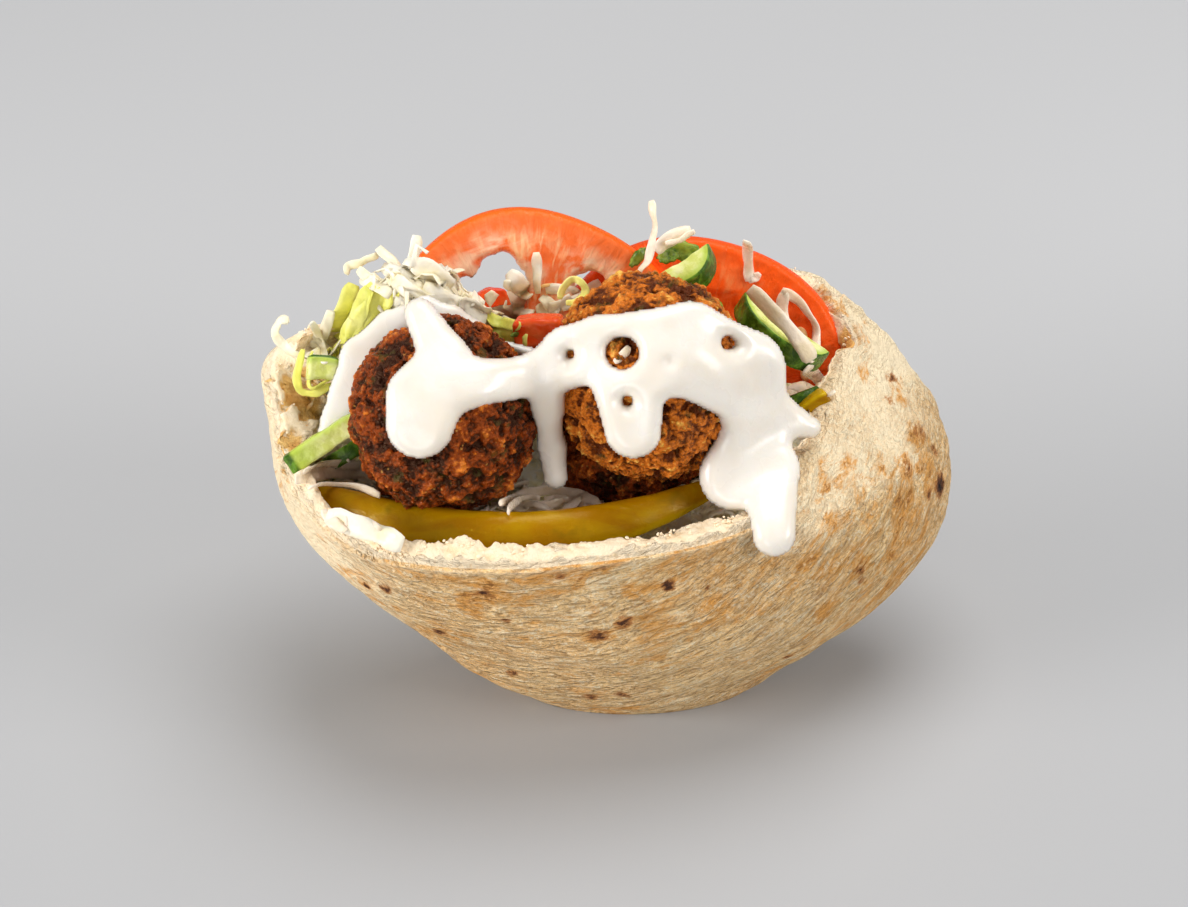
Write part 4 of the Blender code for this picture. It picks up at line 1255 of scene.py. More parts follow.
def falafel_material(name, deep, warm, light):
    """Deep-fried crust: dark in its hollows by painted shade, warm and lighter on its crumbs by painted
    light, a little oil on it.
    """
    material, s = new_material(
        name, {"Specular IOR Level": 0.4, "Specular Tint": (1.0, 0.62, 0.34, 1.0)}
    )
    place = s.place()
    stand = s.attribute("crumb")
    patch = s.noise(place, 95.0, 4.0, 0.6, 0.5)
    flecks = s.noise(place, 750.0, 4.0, 0.7)
    grit = s.grains(place, 900.0)
    specks = s.grains(place, 430.0)
    # painted shade and light: darker where the crust's relief is low and lighter on its raised crumbs,
    # with random flecks and patches
    shade = s.plus(stand, s.times(s.less(flecks, 0.5), 2.4))
    shade = s.plus(shade, s.times(s.less(patch, 0.5), 2.2))
    shade = s.plus(shade, s.times(s.less(0.4, grit), 0.8))
    colour = s.mix(s.range(shade, -0.6, 0.30), deep, warm)
    colour = s.mix(s.range(shade, 0.3, 1.1), colour, light)
    nut = s.times(s.range(specks, 0.17, 0.08), s.range(patch, 0.45, 0.6))
    colour = s.mix(s.times(nut, 0.8), colour, (0.75, 0.38, 0.09, 1))
    herb = s.noise(s.turned(place, shift=(0.3, 0.1, 0.2)), 260.0, 3.0, 0.6)
    herbs = s.times(s.range(herb, 0.56, 0.66), s.range(patch, 0.60, 0.48))
    colour = s.mix(s.times(herbs, 0.7), colour, (0.06, 0.055, 0.010, 1))
    rough = s.range(flecks, 0.35, 0.65, 0.52, 0.18)
    relief = s.bump(s.less(flecks, grit), 0.0009, 1.0)
    return dressed(material, s, colour, rough, relief)


class PITA_OT_falafel(bpy.types.Operator):
    """Make the three falafel with their fried crust"""

    bl_idname = "pita.falafel"
    bl_label = "Falafel"

    def execute(self, context):
        dark = falafel_material(
            "falafel_dark", (0.030, 0.005, 0.002, 1), (0.31, 0.050, 0.005, 1), (0.80, 0.22, 0.025, 1)
        )
        gold = falafel_material(
            "falafel_gold", (0.10, 0.016, 0.002, 1), (0.72, 0.185, 0.016, 1), (1.0, 0.54, 0.10, 1)
        )
        for name, (centre, radii, seed) in FALAFELS.items():
            fine = 6 if name == "falafel_under" else 7
            mesh = falafel_mesh(name, centre, radii, seed, fine)
            # the left ball's crust is darker fried; the ball under the others takes the same dark crust,
            # partly as painted shade
            finish = gold if name == "falafel_right" else dark
            finished(name + "_crust", mesh, finish, (name,))
        return {"FINISHED"}


# ---- tomato ----


def slice_radius(turn, radius, seed):
    """The lobed outline's radius at each angle."""
    lobes = sum(share * np.cos(lobe * (turn + seed)) for lobe, share in SLICE_LOBES)
    return radius * (1 + lobes)


def oval_distance(at, oval, ragged, seed):
    """About how far each point lies outside an oval with a ragged edge."""
    x, y, half_width, half_height = oval
    along = (at[:, 0] - x) / half_width
    across = (at[:, 1] - y) / half_height
    away = (np.hypot(along, across) - 1.0) * min(half_width, half_height)
    return away + ragged * lumps(np.column_stack([at, np.zeros(len(at))]), 3.2, 3, seed)


def hollow_distances(at, hollows):
    """How far each point lies outside each hollow."""
    return [oval_distance(at, hollow, 0.7, 4.0 + i) for i, hollow in enumerate(hollows)]


def slice_distance(at, radius, seed, hollows):
    """How far each point lies outside a slice with its hollows."""
    turn = np.arctan2(at[:, 1], at[:, 0])
    away = np.hypot(at[:, 0], at[:, 1]) - slice_radius(turn, radius, seed)
    for gap in hollow_distances(at, hollows):
        away = np.maximum(away, -gap)
    return away


def tomato_mesh(name, centre, radius, seed, hollows, pockets):
    """A slice with ragged hollows, sunken seed pockets and a rounded rim."""

    def distance(at):
        return slice_distance(at, radius, seed, hollows)

    reach = radius * 1.04
    sheet = flat_sheet(distance, (-reach, -reach), (reach, reach), SLICE_CELL)
    mesh = two_sided(sheet, name)
    points = points_of(mesh)
    at = points[:, :2]
    inward = np.maximum(-distance(at), 0.0)
    side = values_of(mesh, "side")
    full = np.sqrt(1 - (1 - np.clip(inward / 1.5, 0, 1)) ** 2)
    sunk = np.zeros(len(points))
    for i, pocket in enumerate(pockets):
        sunk = np.maximum(sunk, smoothstep(0.8, -1.4, oval_distance(at, pocket, 0.8, 9.0 + i)))
    flat = np.column_stack([at, side * 3.0])
    relief = 0.22 * lumps(flat, 4.0, 4, seed) + 0.10 * lumps(flat, 1.3, 3, seed + 4)
    half = SLICE_THICK / 2 * full - 1.1 * sunk * full + relief * full
    bow = 1.4 * np.cos(at[:, 0] / radius * 1.3) - 1.2
    points[:, 2] = side * half + bow
    turn = np.arctan2(at[:, 0], at[:, 1])
    rim = slice_radius(np.arctan2(at[:, 1], at[:, 0]), radius, seed) - np.hypot(*at.T)
    move_points(mesh, put(points, centre, (POUR_LIFT - SLICE_LEAN, 0.0, 0.0)))
    paint(mesh, "turn", turn)
    paint(mesh, "rim", rim)
    paint(mesh, "sunk", sunk)
    gap = np.min([np.full(len(at), 99.0), *hollow_distances(at, hollows)], axis=0)
    paint(mesh, "hollow", smoothstep(7.0, 0.5, gap + 1.5 * lumps(flat, 4.0, 3, 6.0)))
    paint(mesh, "core", np.hypot(*at.T) / radius)
    return mesh


def tomato_material(name, skin, wall, pale, pale_share):
    """Wet cut flesh: a thin skin line, fibres running in from the rim, and glossy seed jelly."""
    material, s = new_material(
        name,
        {"Specular IOR Level": 0.3, "Specular Tint": (1.0, 0.72, 0.5, 1.0)},
    )
    place = s.place()
    rim, core, sunk = s.attribute("rim"), s.attribute("core"), s.attribute("sunk")
    round_and_out = s.node(
        "ShaderNodeCombineXYZ",
        {"X": s.times(s.attribute("turn"), 16.0), "Y": s.times(core, 5.0)},
    ).outputs[0]
    fibres = s.noise(round_and_out, 1.0, 5.0, 0.6, 0.8)
    blotch = s.noise(place, 130.0, 4.0, 0.6, 0.7)
    glints = s.noise(place, 480.0, 3.0, 0.65)
    light = s.plus(s.range(fibres, 0.40, 0.68), s.range(blotch, 0.45, 0.70, -0.3, 0.6))
    light = s.times(light, s.range(rim, 2.0, 9.0, 0.1, pale_share))
    colour = s.mix(s.math("MINIMUM", light, 1.0), wall, pale)
    wet = s.noise(s.turned(place, scale=(90, 140, 140)), 1.0, 4.0, 0.6, 1.2)
    milky = s.times(s.attribute("hollow"), s.range(wet, 0.42, 0.62))
    colour = s.mix(s.times(milky, 0.8), colour, (1.0, 0.72, 0.48, 1))
    # painted shade: darker red in the sunken seed pockets
    colour = s.mix(s.range(sunk, 0.3, 0.9, 0.0, 0.75), colour, (0.86, 0.085, 0.006, 1))
    colour = s.mix(s.range(rim, 0.5, 1.5, 1.0, 0.0), colour, skin)
    rough = s.less(s.range(glints, 0.35, 0.65, 0.22, 0.46), s.times(sunk, 0.12))
    height = s.plus(fibres, s.times(glints, 0.5))
    return dressed(material, s, colour, rough, s.bump(height, 0.0006, 0.7))


def seed_mesh(name, places, centre, lean):
    """Small pointed seeds lying in the pockets of a slice."""
    bm = bmesh.new()
    chance = random.Random(SEEDS["pips"])
    for across, up in places:
        made = bmesh.ops.create_icosphere(bm, subdivisions=3, radius=1.0)["verts"]
        turn = Matrix.Rotation(chance.uniform(0, math.tau), 4, "Z")
        size = Matrix.Diagonal((0.95, 1.5, 0.5, 1.0))
        bmesh.ops.transform(
            bm, matrix=Matrix.Translation((across, up, 1.6)) @ turn @ size, verts=made
        )
    mesh = mesh_from(bm, name)
    move_points(mesh, put(points_of(mesh), centre, (lean, 0.0, 0.0)))
    return mesh


def seed_material():
    """Pale, moist seeds."""
    material, s = new_material("tomato_seed", {"Roughness": 0.3})
    tone = s.noise(s.place(), 700.0, 3.0)
    colour = s.mix(s.range(tone, 0.35, 0.65), (0.80, 0.42, 0.14, 1), (0.92, 0.62, 0.30, 1))
    return dressed(material, s, colour)


class PITA_OT_tomato(bpy.types.Operator):
    """Make the two tomato slices that lean on the far wall"""

    bl_idname = "pita.tomato"
    bl_label = "Tomato slices"

    def execute(self, context):
        c = colours()
        pale = tomato_material(
            "tomato_pale", tuple(c.tomato_skin), (0.95, 0.17, 0.035, 1), tuple(c.tomato_pale), 1.0
        )
        ripe = tomato_material(
            "tomato_ripe", (0.95, 0.09, 0.006, 1), tuple(c.tomato_flesh), (1.0, 0.32, 0.10, 1), 0.55
        )
        left = tomato_mesh("tomato_left_flesh", *TOMATO_LEFT, LEFT_HOLLOWS, LEFT_POCKETS)
        finished("tomato_left_flesh", left, pale, ("tomato_slice_left",))
        right = tomato_mesh("tomato_right_flesh", *TOMATO_RIGHT, (), RIGHT_POCKETS)
        finished("tomato_right_flesh", right, ripe, ("tomato_slice_right",))
        lean = POUR_LIFT - SLICE_LEAN
        seeds = seed_mesh("tomato_seeds", TOMATO_SEEDS, TOMATO_RIGHT[0], lean)
        finished("tomato_seeds", seeds, seed_material())
        return {"FINISHED"}


# ---- pickle, cucumber and pepper ----


def pickle_frame(t):
    """The middle of the crescent along its length, and its two half axes there."""
    middle = rows_at(PICKLE_LINE, t)
    along = unit(rows_at(PICKLE_LINE, np.minimum(t + 0.02, 1)) - rows_at(PICKLE_LINE, t - 0.02))
    level = unit(np.cross(np.array([0.0, 0.0, 1.0]), along))
    tilt = math.radians(PICKLE_TILT)
    wide = level * math.cos(tilt) + np.array([0.0, 0.0, math.sin(tilt)])
    taper = np.maximum(0.05, np.sin(math.pi * (0.03 + 0.94 * t)) ** 0.6)[:, None]
    thick = np.cross(wide, along) * (PICKLE_THICK * np.maximum(taper, 0.3))
    return middle, wide * (PICKLE_WIDE * taper), thick


def pickle_mesh():
    """The long crescent, with where each point lies across its width, -1 at its lower edge."""
    mesh, side, ring = ring_grid(PICKLE_SIDES, PICKLE_RINGS, "pickle_crescent")
    t = np.clip((ring - 2) / (PICKLE_RINGS - 5), 0.0, 1.0)
    from_end = np.minimum(ring, PICKLE_RINGS - 1 - ring)
    close = np.array([0.0, 0.6, 1.0])[np.minimum(from_end, 2)][:, None]
    angle = math.tau * side / PICKLE_SIDES
    middle, wide, thick = pickle_frame(t)
    across = np.sign(np.cos(angle)) * np.abs(np.cos(angle)) ** 0.9
    points = middle + (wide * across[:, None] + thick * np.sin(angle)[:, None]) * close
    swell = 0.25 * waves(points, 9.0, 2.0) + 0.10 * waves(points, 3.0, 5.0)
    points = points + unit(points - middle + 1e-6) * (swell[:, None] * close)
    move_points(mesh, points)
    paint(mesh, "edge", np.cos(angle))
    return merged(mesh)


def pickle_material():
    """Olive pickled skin, wet, with paler warts and brighter towards one edge of its width."""
    c = colours()
    material, s = new_material(
        "pickle_skin", {"Specular IOR Level": 0.32, "Specular Tint": (1.0, 0.82, 0.35, 1.0)}
    )
    place = s.place()
    edge = s.attribute("edge")
    long_marks = s.noise(s.turned(place, scale=(60, 240, 240)), 1.0, 4.0, 0.6, 0.5)
    patch = s.noise(place, 160.0, 4.0, 0.6)
    dots = s.grains(place, 300.0)
    colour = s.mix(s.range(long_marks, 0.35, 0.68), tuple(c.pickle), (0.44, 0.24, 0.0015, 1))
    colour = s.mix(s.range(patch, 0.55, 0.75, 0.0, 0.6), colour, (0.22, 0.13, 0.001, 1))
    colour = s.mix(s.range(dots, 0.10, 0.04, 0.0, 0.4), colour, (0.66, 0.46, 0.03, 1))
    colour = s.mix(s.range(edge, -0.45, -0.95, 0.0, 0.85), colour, (0.64, 0.42, 0.003, 1))
    rough = s.range(patch, 0.3, 0.7, 0.16, 0.34)
    relief = s.bump(s.plus(long_marks, patch), 0.0005, 0.5)
    return dressed(material, s, colour, rough, relief)


def block_mesh(name, centre, size, turn, bend):
    """A hand-cut piece: softened edges, slightly uneven faces and a little bend."""
    bm = bmesh.new()
    bmesh.ops.create_cube(bm, size=1.0)
    bmesh.ops.scale(bm, verts=bm.verts, vec=size)
    bmesh.ops.bevel(
        bm, geom=bm.edges[:], offset=0.16 * min(size), affect="EDGES", segments=3, profile=0.5
    )
    mesh = remeshed(mesh_from(bm, name), BLOCK_VOXEL, name)
    points = points_of(mesh)
    facing = normals_of(mesh)
    seed = centre[0] * 0.1
    bump = 0.22 * waves(points, 4.0, seed) + 0.10 * lumps(points, 1.6, 3, seed)
    own = points / np.array(size)
    points = points + facing * bump[:, None]
    points[:, 1] += bend * (1 - 4 * own[:, 0] ** 2) - bend * 0.6
    points[:, 1] *= 1.0 - 0.16 * own[:, 0]
    move_points(mesh, put(points, centre, turn))
    return mesh, own


def arc_mesh(name, centre, radius, thickness, part, turn):
    """Part of a round slice with its skin side towards the pour, and how near the skin is."""
    bm = bmesh.new()
    start = math.radians(-90.0 - part / 2)
    first = bm.verts.new((radius * math.cos(start), radius * math.sin(start), 0.0))
    bmesh.ops.spin(
        bm, geom=[first], axis=(0, 0, 1), angle=math.radians(part), steps=ARC_STEPS, use_merge=False
    )
    bmesh.ops.contextual_create(bm, geom=bm.verts[:])
    bmesh.ops.translate(bm, verts=bm.verts, vec=(0, 0, -thickness / 2))
    face = bm.faces[:]
    raised = bmesh.ops.extrude_face_region(bm, geom=face, use_keep_orig=True)["geom"]
    upper = [v for v in raised if isinstance(v, bmesh.types.BMVert)]
    bmesh.ops.translate(bm, verts=upper, vec=(0, 0, thickness))
    bmesh.ops.recalc_face_normals(bm, faces=bm.faces)
    mesh = remeshed(mesh_from(bm, name), SLICE_VOXEL, name)
    smoothed(mesh, 2)
    points = points_of(mesh)
    out = np.hypot(points[:, 0], points[:, 1])
    skin = radius - out
    seed = centre[0] * 0.13
    facing = normals_of(mesh)
    bump = 0.16 * waves(points, 4.0, seed) + 0.08 * lumps(points, 1.4, 3, seed)
    bump = bump - 0.35 * smoothstep(0.5 * radius, 0.1 * radius, out)
    points = points + facing * bump[:, None]
    points[:, 1] += 0.5 * radius
    stood = np.stack([points[:, 0], points[:, 2], -points[:, 1]], 1)
    move_points(mesh, put(stood, centre, turn))
    return mesh, skin


def cucumber_material():
    """Dark green skin with paler stripes over wet pale flesh that greens towards the skin."""
    c = colours()
    material, s = new_material(
        "cucumber_cut",
        {"Specular IOR Level": 0.35, "Specular Tint": (0.95, 1.0, 0.7, 1.0)},
    )
    place = s.place()
    skin = s.attribute("skin")
    stripe = s.noise(s.turned(place, scale=(420, 420, 420)), 1.0, 4.0, 0.6, 0.5)
    cloud = s.noise(place, 260.0, 4.0, 0.6)
    flesh = s.mix(s.range(cloud, 0.38, 0.66), tuple(c.cucumber_flesh), (0.84, 0.84, 0.40, 1))
    flesh = s.mix(s.range(skin, 2.4, 0.7, 0.0, 0.85), flesh, (0.42, 0.55, 0.06, 1))
    green = s.mix(s.range(stripe, 0.42, 0.66), tuple(c.cucumber_skin), (0.13, 0.27, 0.02, 1))
    colour = s.mix(s.range(skin, 0.62, 0.34), flesh, green)
    rough = s.range(cloud, 0.3, 0.7, 0.2, 0.4)
    relief = s.bump(s.plus(cloud, stripe), 0.0004, 0.6)
    return dressed(material, s, colour, rough, relief)


def pepper_material():
    """Wet red pepper, a little darker along its skin."""
    c = colours()
    material, s = new_material(
        "red_pepper",
        {"Specular IOR Level": 0.4, "Specular Tint": (1.0, 0.7, 0.6, 1.0)},
    )
    tone = s.noise(s.place(), 210.0, 4.0, 0.6, 0.5)
    colour = s.mix(s.range(tone, 0.36, 0.66), tuple(c.pepper), (0.98, 0.16, 0.03, 1))
    colour = s.mix(s.range(s.attribute("skin"), 0.8, 0.2, 0.0, 0.5), colour, (0.62, 0.02, 0.005, 1))
    rough = s.range(tone, 0.3, 0.7, 0.16, 0.3)
    relief = s.bump(tone, 0.0004, 0.5)
    return dressed(material, s, colour, rough, relief)


class PITA_OT_cut_pieces(bpy.types.Operator):
    """Make the pickle slice and the cut pieces of cucumber and red pepper"""

    bl_idname = "pita.cut_pieces"
    bl_label = "Pickle, cucumber and pepper"

    def execute(self, context):
        pickle = pickle_material()
        finishes = {"pickle": pickle, "cucumber": cucumber_material(), "pepper": pepper_material()}
        finished("pickle_crescent", pickle_mesh(), pickle, ("pickle_slice",))
        for node, (kind, centre, size, turn) in BLOCKS.items():
            bend = 1.6 if node == "red_pepper_strip" else 0.3
            mesh, own = block_mesh(node + "_cut", centre, size, turn, bend)
            skin = (0.5 - own[:, 1]) * size[1]
            if node == "cucumber_stick":
                skin = np.minimum(skin + 1.0, (own[:, 0] + 0.5) * size[0] * 0.25)
            paint(mesh, "skin", skin)
            paint(mesh, "edge", -own[:, 1] * 2)
            finished(node + "_cut", mesh, finishes[kind], (node,))
        for node, spec in CUCUMBER_SLICES.items():
            mesh, skin = arc_mesh(node + "_cut", *spec)
            paint(mesh, "skin", skin)
            finished(node + "_cut", mesh, finishes["cucumber"], (node,))
        return {"FINISHED"}


# ---- salad ----


def core_mesh():
    """The heap under the loose shreds, a little inside the solid's outline."""
    bm = bmesh.new()
    bm.from_mesh(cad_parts["salad_filling"].data)
    bmesh.ops.remove_doubles(bm, verts=bm.verts, dist=1e-6)
    bmesh.ops.scale(bm, verts=bm.verts, vec=(1 / MM,) * 3)
    bmesh.ops.translate(bm, verts=bm.verts, vec=(*ORIGIN, 0.0))
    bmesh.ops.recalc_face_normals(bm, faces=bm.faces)
    mesh = remeshed(mesh_from(bm, "salad_core"), CORE_VOXEL, "salad_core")
    smoothed(mesh, 3)
    points, facing = points_of(mesh), normals_of(mesh)
    high = smoothstep(40.0, 48.0, points[:, 2])
    relief = 1.1 * lumps(points, 5.0, 4, 3.0) + 0.7 * np.abs(waves(points, 2.6, 7.0))
    points = points + facing * ((relief - CORE_DROP) * np.maximum(high, 0.4))[:, None]
    left = smoothstep(-52.0, -62.0, points[:, 0]) * smoothstep(16.0, 6.0, points[:, 1])
    points[:, 2] -= CORE_HOLLOW * left * high
    move_points(mesh, points)
    return mesh


def shreds_mesh(name, shreds):
    """Every shred of one kind in one mesh: each has its line, facing, half width and thickness."""
    whole = bmesh.new()
    shapes, blanks = [], {}
    for line, facing, half, thick, curl in shreds:
        count = len(line)
        if count not in blanks:
            blanks[count] = ring_grid(SHRED_SIDES, count + 2, "shred")
        mesh, side, ring = blanks[count]
        whole.from_mesh(mesh)
        i = np.clip(ring - 1, 0, count - 1)
        whole_ring = ((ring > 0) & (ring <= count)).astype(float)
        along = unit(np.gradient(line, axis=0))
        facing = square_to(along, facing)
        across = np.cross(along, facing)
        end = np.minimum(i, count - 1 - i)
        uneven = 1.0 + 0.12 * np.sin(i * 0.55 + half * 40) + 0.05 * np.sin(i * 1.3 + half * 90)
        width = half * np.array([0.66, 0.92, 1.0])[np.minimum(end, 2)] * uneven * whole_ring
        turn = math.tau * (side + 0.5) / SHRED_SIDES
        out = np.cos(turn) * width
        lift = np.sin(turn) * thick * whole_ring + curl * (np.cos(turn) ** 2 - 0.5) * width
        shapes.append(line[i] + across[i] * out[:, None] + facing[i] * lift[:, None])
    for mesh, _, _ in blanks.values():
        bpy.data.meshes.remove(mesh)
    mesh = mesh_from(whole, name)
    move_points(mesh, np.concatenate(shapes))
    return merged(mesh, 1e-4)


def rolled(line, facing, tilts):
    """The facing of a shred, turned about its own line by an angle at each point."""
    along = unit(np.gradient(line, axis=0))
    facing = square_to(along, facing)
    tilts = np.asarray(tilts)[:, None]
    return facing * np.cos(tilts) + np.cross(along, facing) * np.sin(tilts)


def solids_under(skip=("tahini_sauce",)):
    """The names of the part's solids, without those skipped."""
    return [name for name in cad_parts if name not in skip]


def clear_of(tree, point, gap):
    """Whether a point lies outside the solids of a tree, with some room."""
    place, facing, _, distance = tree.find_nearest(point)
    return distance > gap and (point - place).dot(facing) > 0


def surface_walk(tree, place, facing, chance, length, heading):
    """A wandering line over the heap and its facing, often with one end standing off it."""
    if heading is None:
        ahead = facing.orthogonal().normalized()
        ahead = Matrix.Rotation(chance.uniform(0, math.tau), 3, facing) @ ahead
    else:
        ahead = Vector(heading) - facing * facing.dot(Vector(heading))
        ahead = Matrix.Rotation(chance.gauss(0, 0.5), 3, facing) @ ahead.normalized()
    lift = chance.uniform(0.0, 1.6)
    rise = chance.choice((0.0, 0.0, 0.15, 0.35, 0.7)) * chance.random()
    bend = chance.gauss(0.0, 0.12)
    line, ways = [], []
    for i in range(max(5, round(length))):
        line.append(place + facing * (lift + rise * max(0, i - 2)))
        ways.append(facing)
        found = tree.find_nearest(place + ahead * SHRED_STEP)
        place, facing = found[0], found[1]
        ahead = (ahead - facing * ahead.dot(facing)).normalized()
        ahead = Matrix.Rotation(bend + chance.gauss(0.0, 0.10), 3, facing) @ ahead
    return line, np.array(ways)


def scattered_shreds(core, kinds):
    """Adds random shreds on the patches of the heap, kept clear of the larger pieces."""
    tree = tree_of_mesh(core)
    solid = tree_of_nodes(solids_under(("tahini_sauce", "salad_filling", "pita")))
    bread = tree_of_nodes(("pita",))
    chance = random.Random(SEEDS["strewn"])
    points, facing = points_of(core), normals_of(core)
    for x, y, reach_x, reach_y, count, length, wide, kind, heading in SHRED_PATCHES:
        away = ((points[:, 0] - x) / reach_x) ** 2 + ((points[:, 1] - y) / reach_y) ** 2
        spots = np.flatnonzero((away < 1.0) & (points[:, 2] > SHRED_BOTTOM) & (facing[:, 2] > -0.3))
        for _ in range(count):
            spot = int(spots[int(chance.random() * len(spots))])
            size = length * chance.uniform(0.6, 1.5)
            half = wide * chance.uniform(0.6, 1.4)
            tilt, twist = chance.gauss(0.0, 0.35), chance.gauss(0.0, 0.06)
            place, way = Vector(points[spot]), Vector(facing[spot])
            line, ways = surface_walk(tree, place, way, chance, size, heading)
            thick, curl = chance.uniform(0.18, 0.30), chance.gauss(0.0, 0.2)
            if not all(clear_of(solid, p, 0.4) and clear_of(bread, p, 0.3) for p in line):
                continue
            line = np.array(line)
            ways = rolled(line, ways, tilt + twist * np.arange(len(line)))
            kinds[kind].append((line, ways, half, thick, curl))


def laid_line(tree, spots, lift):
    """Points of a listed shred, on a smooth curve through its spots."""
    fine = rows_at(spots, np.linspace(0.0, 1.0, 5 * (len(spots) - 1) + 1))
    eye = pour_eye()
    known = lift
    line = []
    for across, up in fine:
        if lift is None:
            met = lift_onto(tree, across, up)
            known = (known or 0.0) if met is None else met + LAID_GAP
        line.append(on_pour_plane(across, up).lerp(eye, known / POUR_REACH))
    line = np.array(line)
    for _ in range(LAID_ROUNDS if lift is None else 0):
        line[1:-1] = line[1:-1] * 0.5 + (line[:-2] + line[2:]) * 0.25
    return line


def laid_shreds(kinds):
    """Adds the listed shreds to the lists of shreds by kind."""
    tree = tree_of_nodes(solids_under(("tahini_sauce", *FALAFELS)))
    chance = random.Random(SEEDS["laid"])
    eye = np.array(pour_eye())
    for kind, half, lift, tilt, spots in LAID_SHREDS:
        line = laid_line(tree, spots, lift)
        steps = np.arange(len(line))
        sway = 0.35 * np.sin(steps * chance.uniform(0.3, 0.6) + chance.uniform(0, 6))
        ways = rolled(line, unit(eye - line), math.radians(tilt) + sway)
        ripple = 0.3 * np.sin(steps * chance.uniform(0.7, 1.1) + chance.uniform(0, 6))
        line = line + ways * ripple[:, None]
        kinds[kind].append((line, ways, half, LAID_THICK, chance.gauss(0.12, 0.14)))


def shred_material(name, pale, deep, depth_share, roughness):
    """Moist raw shreds: pale, a little see-through, with fine ribs along them."""
    material, s = new_material(
        name,
        {
            "Specular IOR Level": 0.35,
            "Specular Tint": (1.0, 0.95, 0.85, 1.0),
            "Subsurface Weight": 0.35,
            "Subsurface Scale": 0.0025,
            "Subsurface Radius": (1.0, 0.95, 0.8),
        },
    )
    place = s.place()
    cloud = s.noise(place, 150.0, 3.0, 0.6)
    ribs = s.noise(place, 900.0, 3.0, 0.6)
    piece = s.noise(place, 45.0, 2.0, 0.5)
    colour = s.mix(s.range(cloud, 0.42, 0.66, 0.0, depth_share), pale, deep)
    colour = s.mix(s.range(piece, 0.5, 0.7, 0.0, 0.35), colour, (0.93, 0.80, 0.48, 1))
    rough = s.range(ribs, 0.3, 0.7, roughness, roughness + 0.2)
    relief = s.bump(s.plus(ribs, cloud), 0.0003, 0.5)
    return dressed(material, s, colour, rough, relief)


def core_material():
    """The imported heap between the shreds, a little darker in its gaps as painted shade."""
    c = colours()
    material, s = new_material("salad_core", {"Roughness": 0.5})
    place = s.place()
    strands = s.noise(s.turned(place, (0.4, 0.3, 0.9), (160, 420, 420)), 1.0, 4.0, 0.6, 1.2)
    cloud = s.noise(place, 60.0, 3.0, 0.6)
    # painted shade: darker where the strands' relief is low
    colour = s.mix(s.range(strands, 0.36, 0.60), (0.97, 0.84, 0.52, 1), tuple(c.cabbage))
    colour = s.mix(s.range(cloud, 0.5, 0.7, 0.0, 0.4), colour, tuple(c.leaf))
    relief = s.bump(strands, 0.0014, 1.0)
    return dressed(material, s, colour, None, relief)


class PITA_OT_salad(bpy.types.Operator):
    """Make the heap of shredded cabbage, leaf and onion"""

    bl_idname = "pita.salad"
    bl_label = "Salad"

    def execute(self, context):
        c = colours()
        core = core_mesh()
        kinds = {"cabbage": [], "leaf": [], "onion": [], "carrot": []}
        scattered_shreds(core, kinds)
        laid_shreds(kinds)
        finished("salad_core", core, core_material(), ("salad_filling",))
        cabbage = shred_material("cabbage", tuple(c.cabbage), (1.0, 0.87, 0.50, 1), 0.8, 0.3)
        leaf = shred_material("lettuce", tuple(c.leaf), (0.66, 0.66, 0.10, 1), 0.8, 0.3)
        onion = shred_material("onion", (1.0, 0.81, 0.62, 1), (0.82, 0.64, 0.40, 1), 0.8, 0.16)
        carrot = shred_material("carrot", (0.90, 0.42, 0.05, 1), (0.80, 0.30, 0.03, 1), 0.7, 0.3)
        finishes = {"cabbage": cabbage, "leaf": leaf, "onion": onion, "carrot": carrot}
        for kind, shreds in kinds.items():
            mesh = shreds_mesh(kind + "_shreds", shreds)
            finished(kind + "_shreds", mesh, finishes[kind])
        return {"FINISHED"}


# ---- sauce ----


def stroke_distance(at, runs, blend):
    """Distance outside runs of tapering strokes that melt into one another."""
    total = np.zeros(len(at))
    for (x0, y0, r0), (x1, y1, r1) in (pair for run in runs for pair in zip(run, run[1:])):
        run_x, run_y = x1 - x0, y1 - y0
        t = ((at[:, 0] - x0) * run_x + (at[:, 1] - y0) * run_y) / (run_x**2 + run_y**2)
        t = np.clip(t, 0.0, 1.0)
        away = np.hypot(at[:, 0] - x0 - t * run_x, at[:, 1] - y0 - t * run_y)
        total += np.exp(np.clip(-(away - r0 - (r1 - r0) * t) * 4.0 / blend, -400, 60))
    return -np.log(np.maximum(total, 1e-200)) * blend / 4.0


def stroke_box(runs, margin):
    """The corners of a box round the runs."""
    ends = [(x, y, radius + margin) for run in runs for x, y, radius in run]
    low = (min(x - r for x, _, r in ends), min(y - r for _, y, r in ends))
    high = (max(x + r for x, _, r in ends), max(y + r for _, y, r in ends))
    return low, high


def neighbours_mean(values, pairs, counts):
    """The mean of each vertex's neighbours."""
    total = np.bincount(pairs[:, 0], values[pairs[:, 1]], len(values))
    total += np.bincount(pairs[:, 1], values[pairs[:, 0]], len(values))
    return total / counts


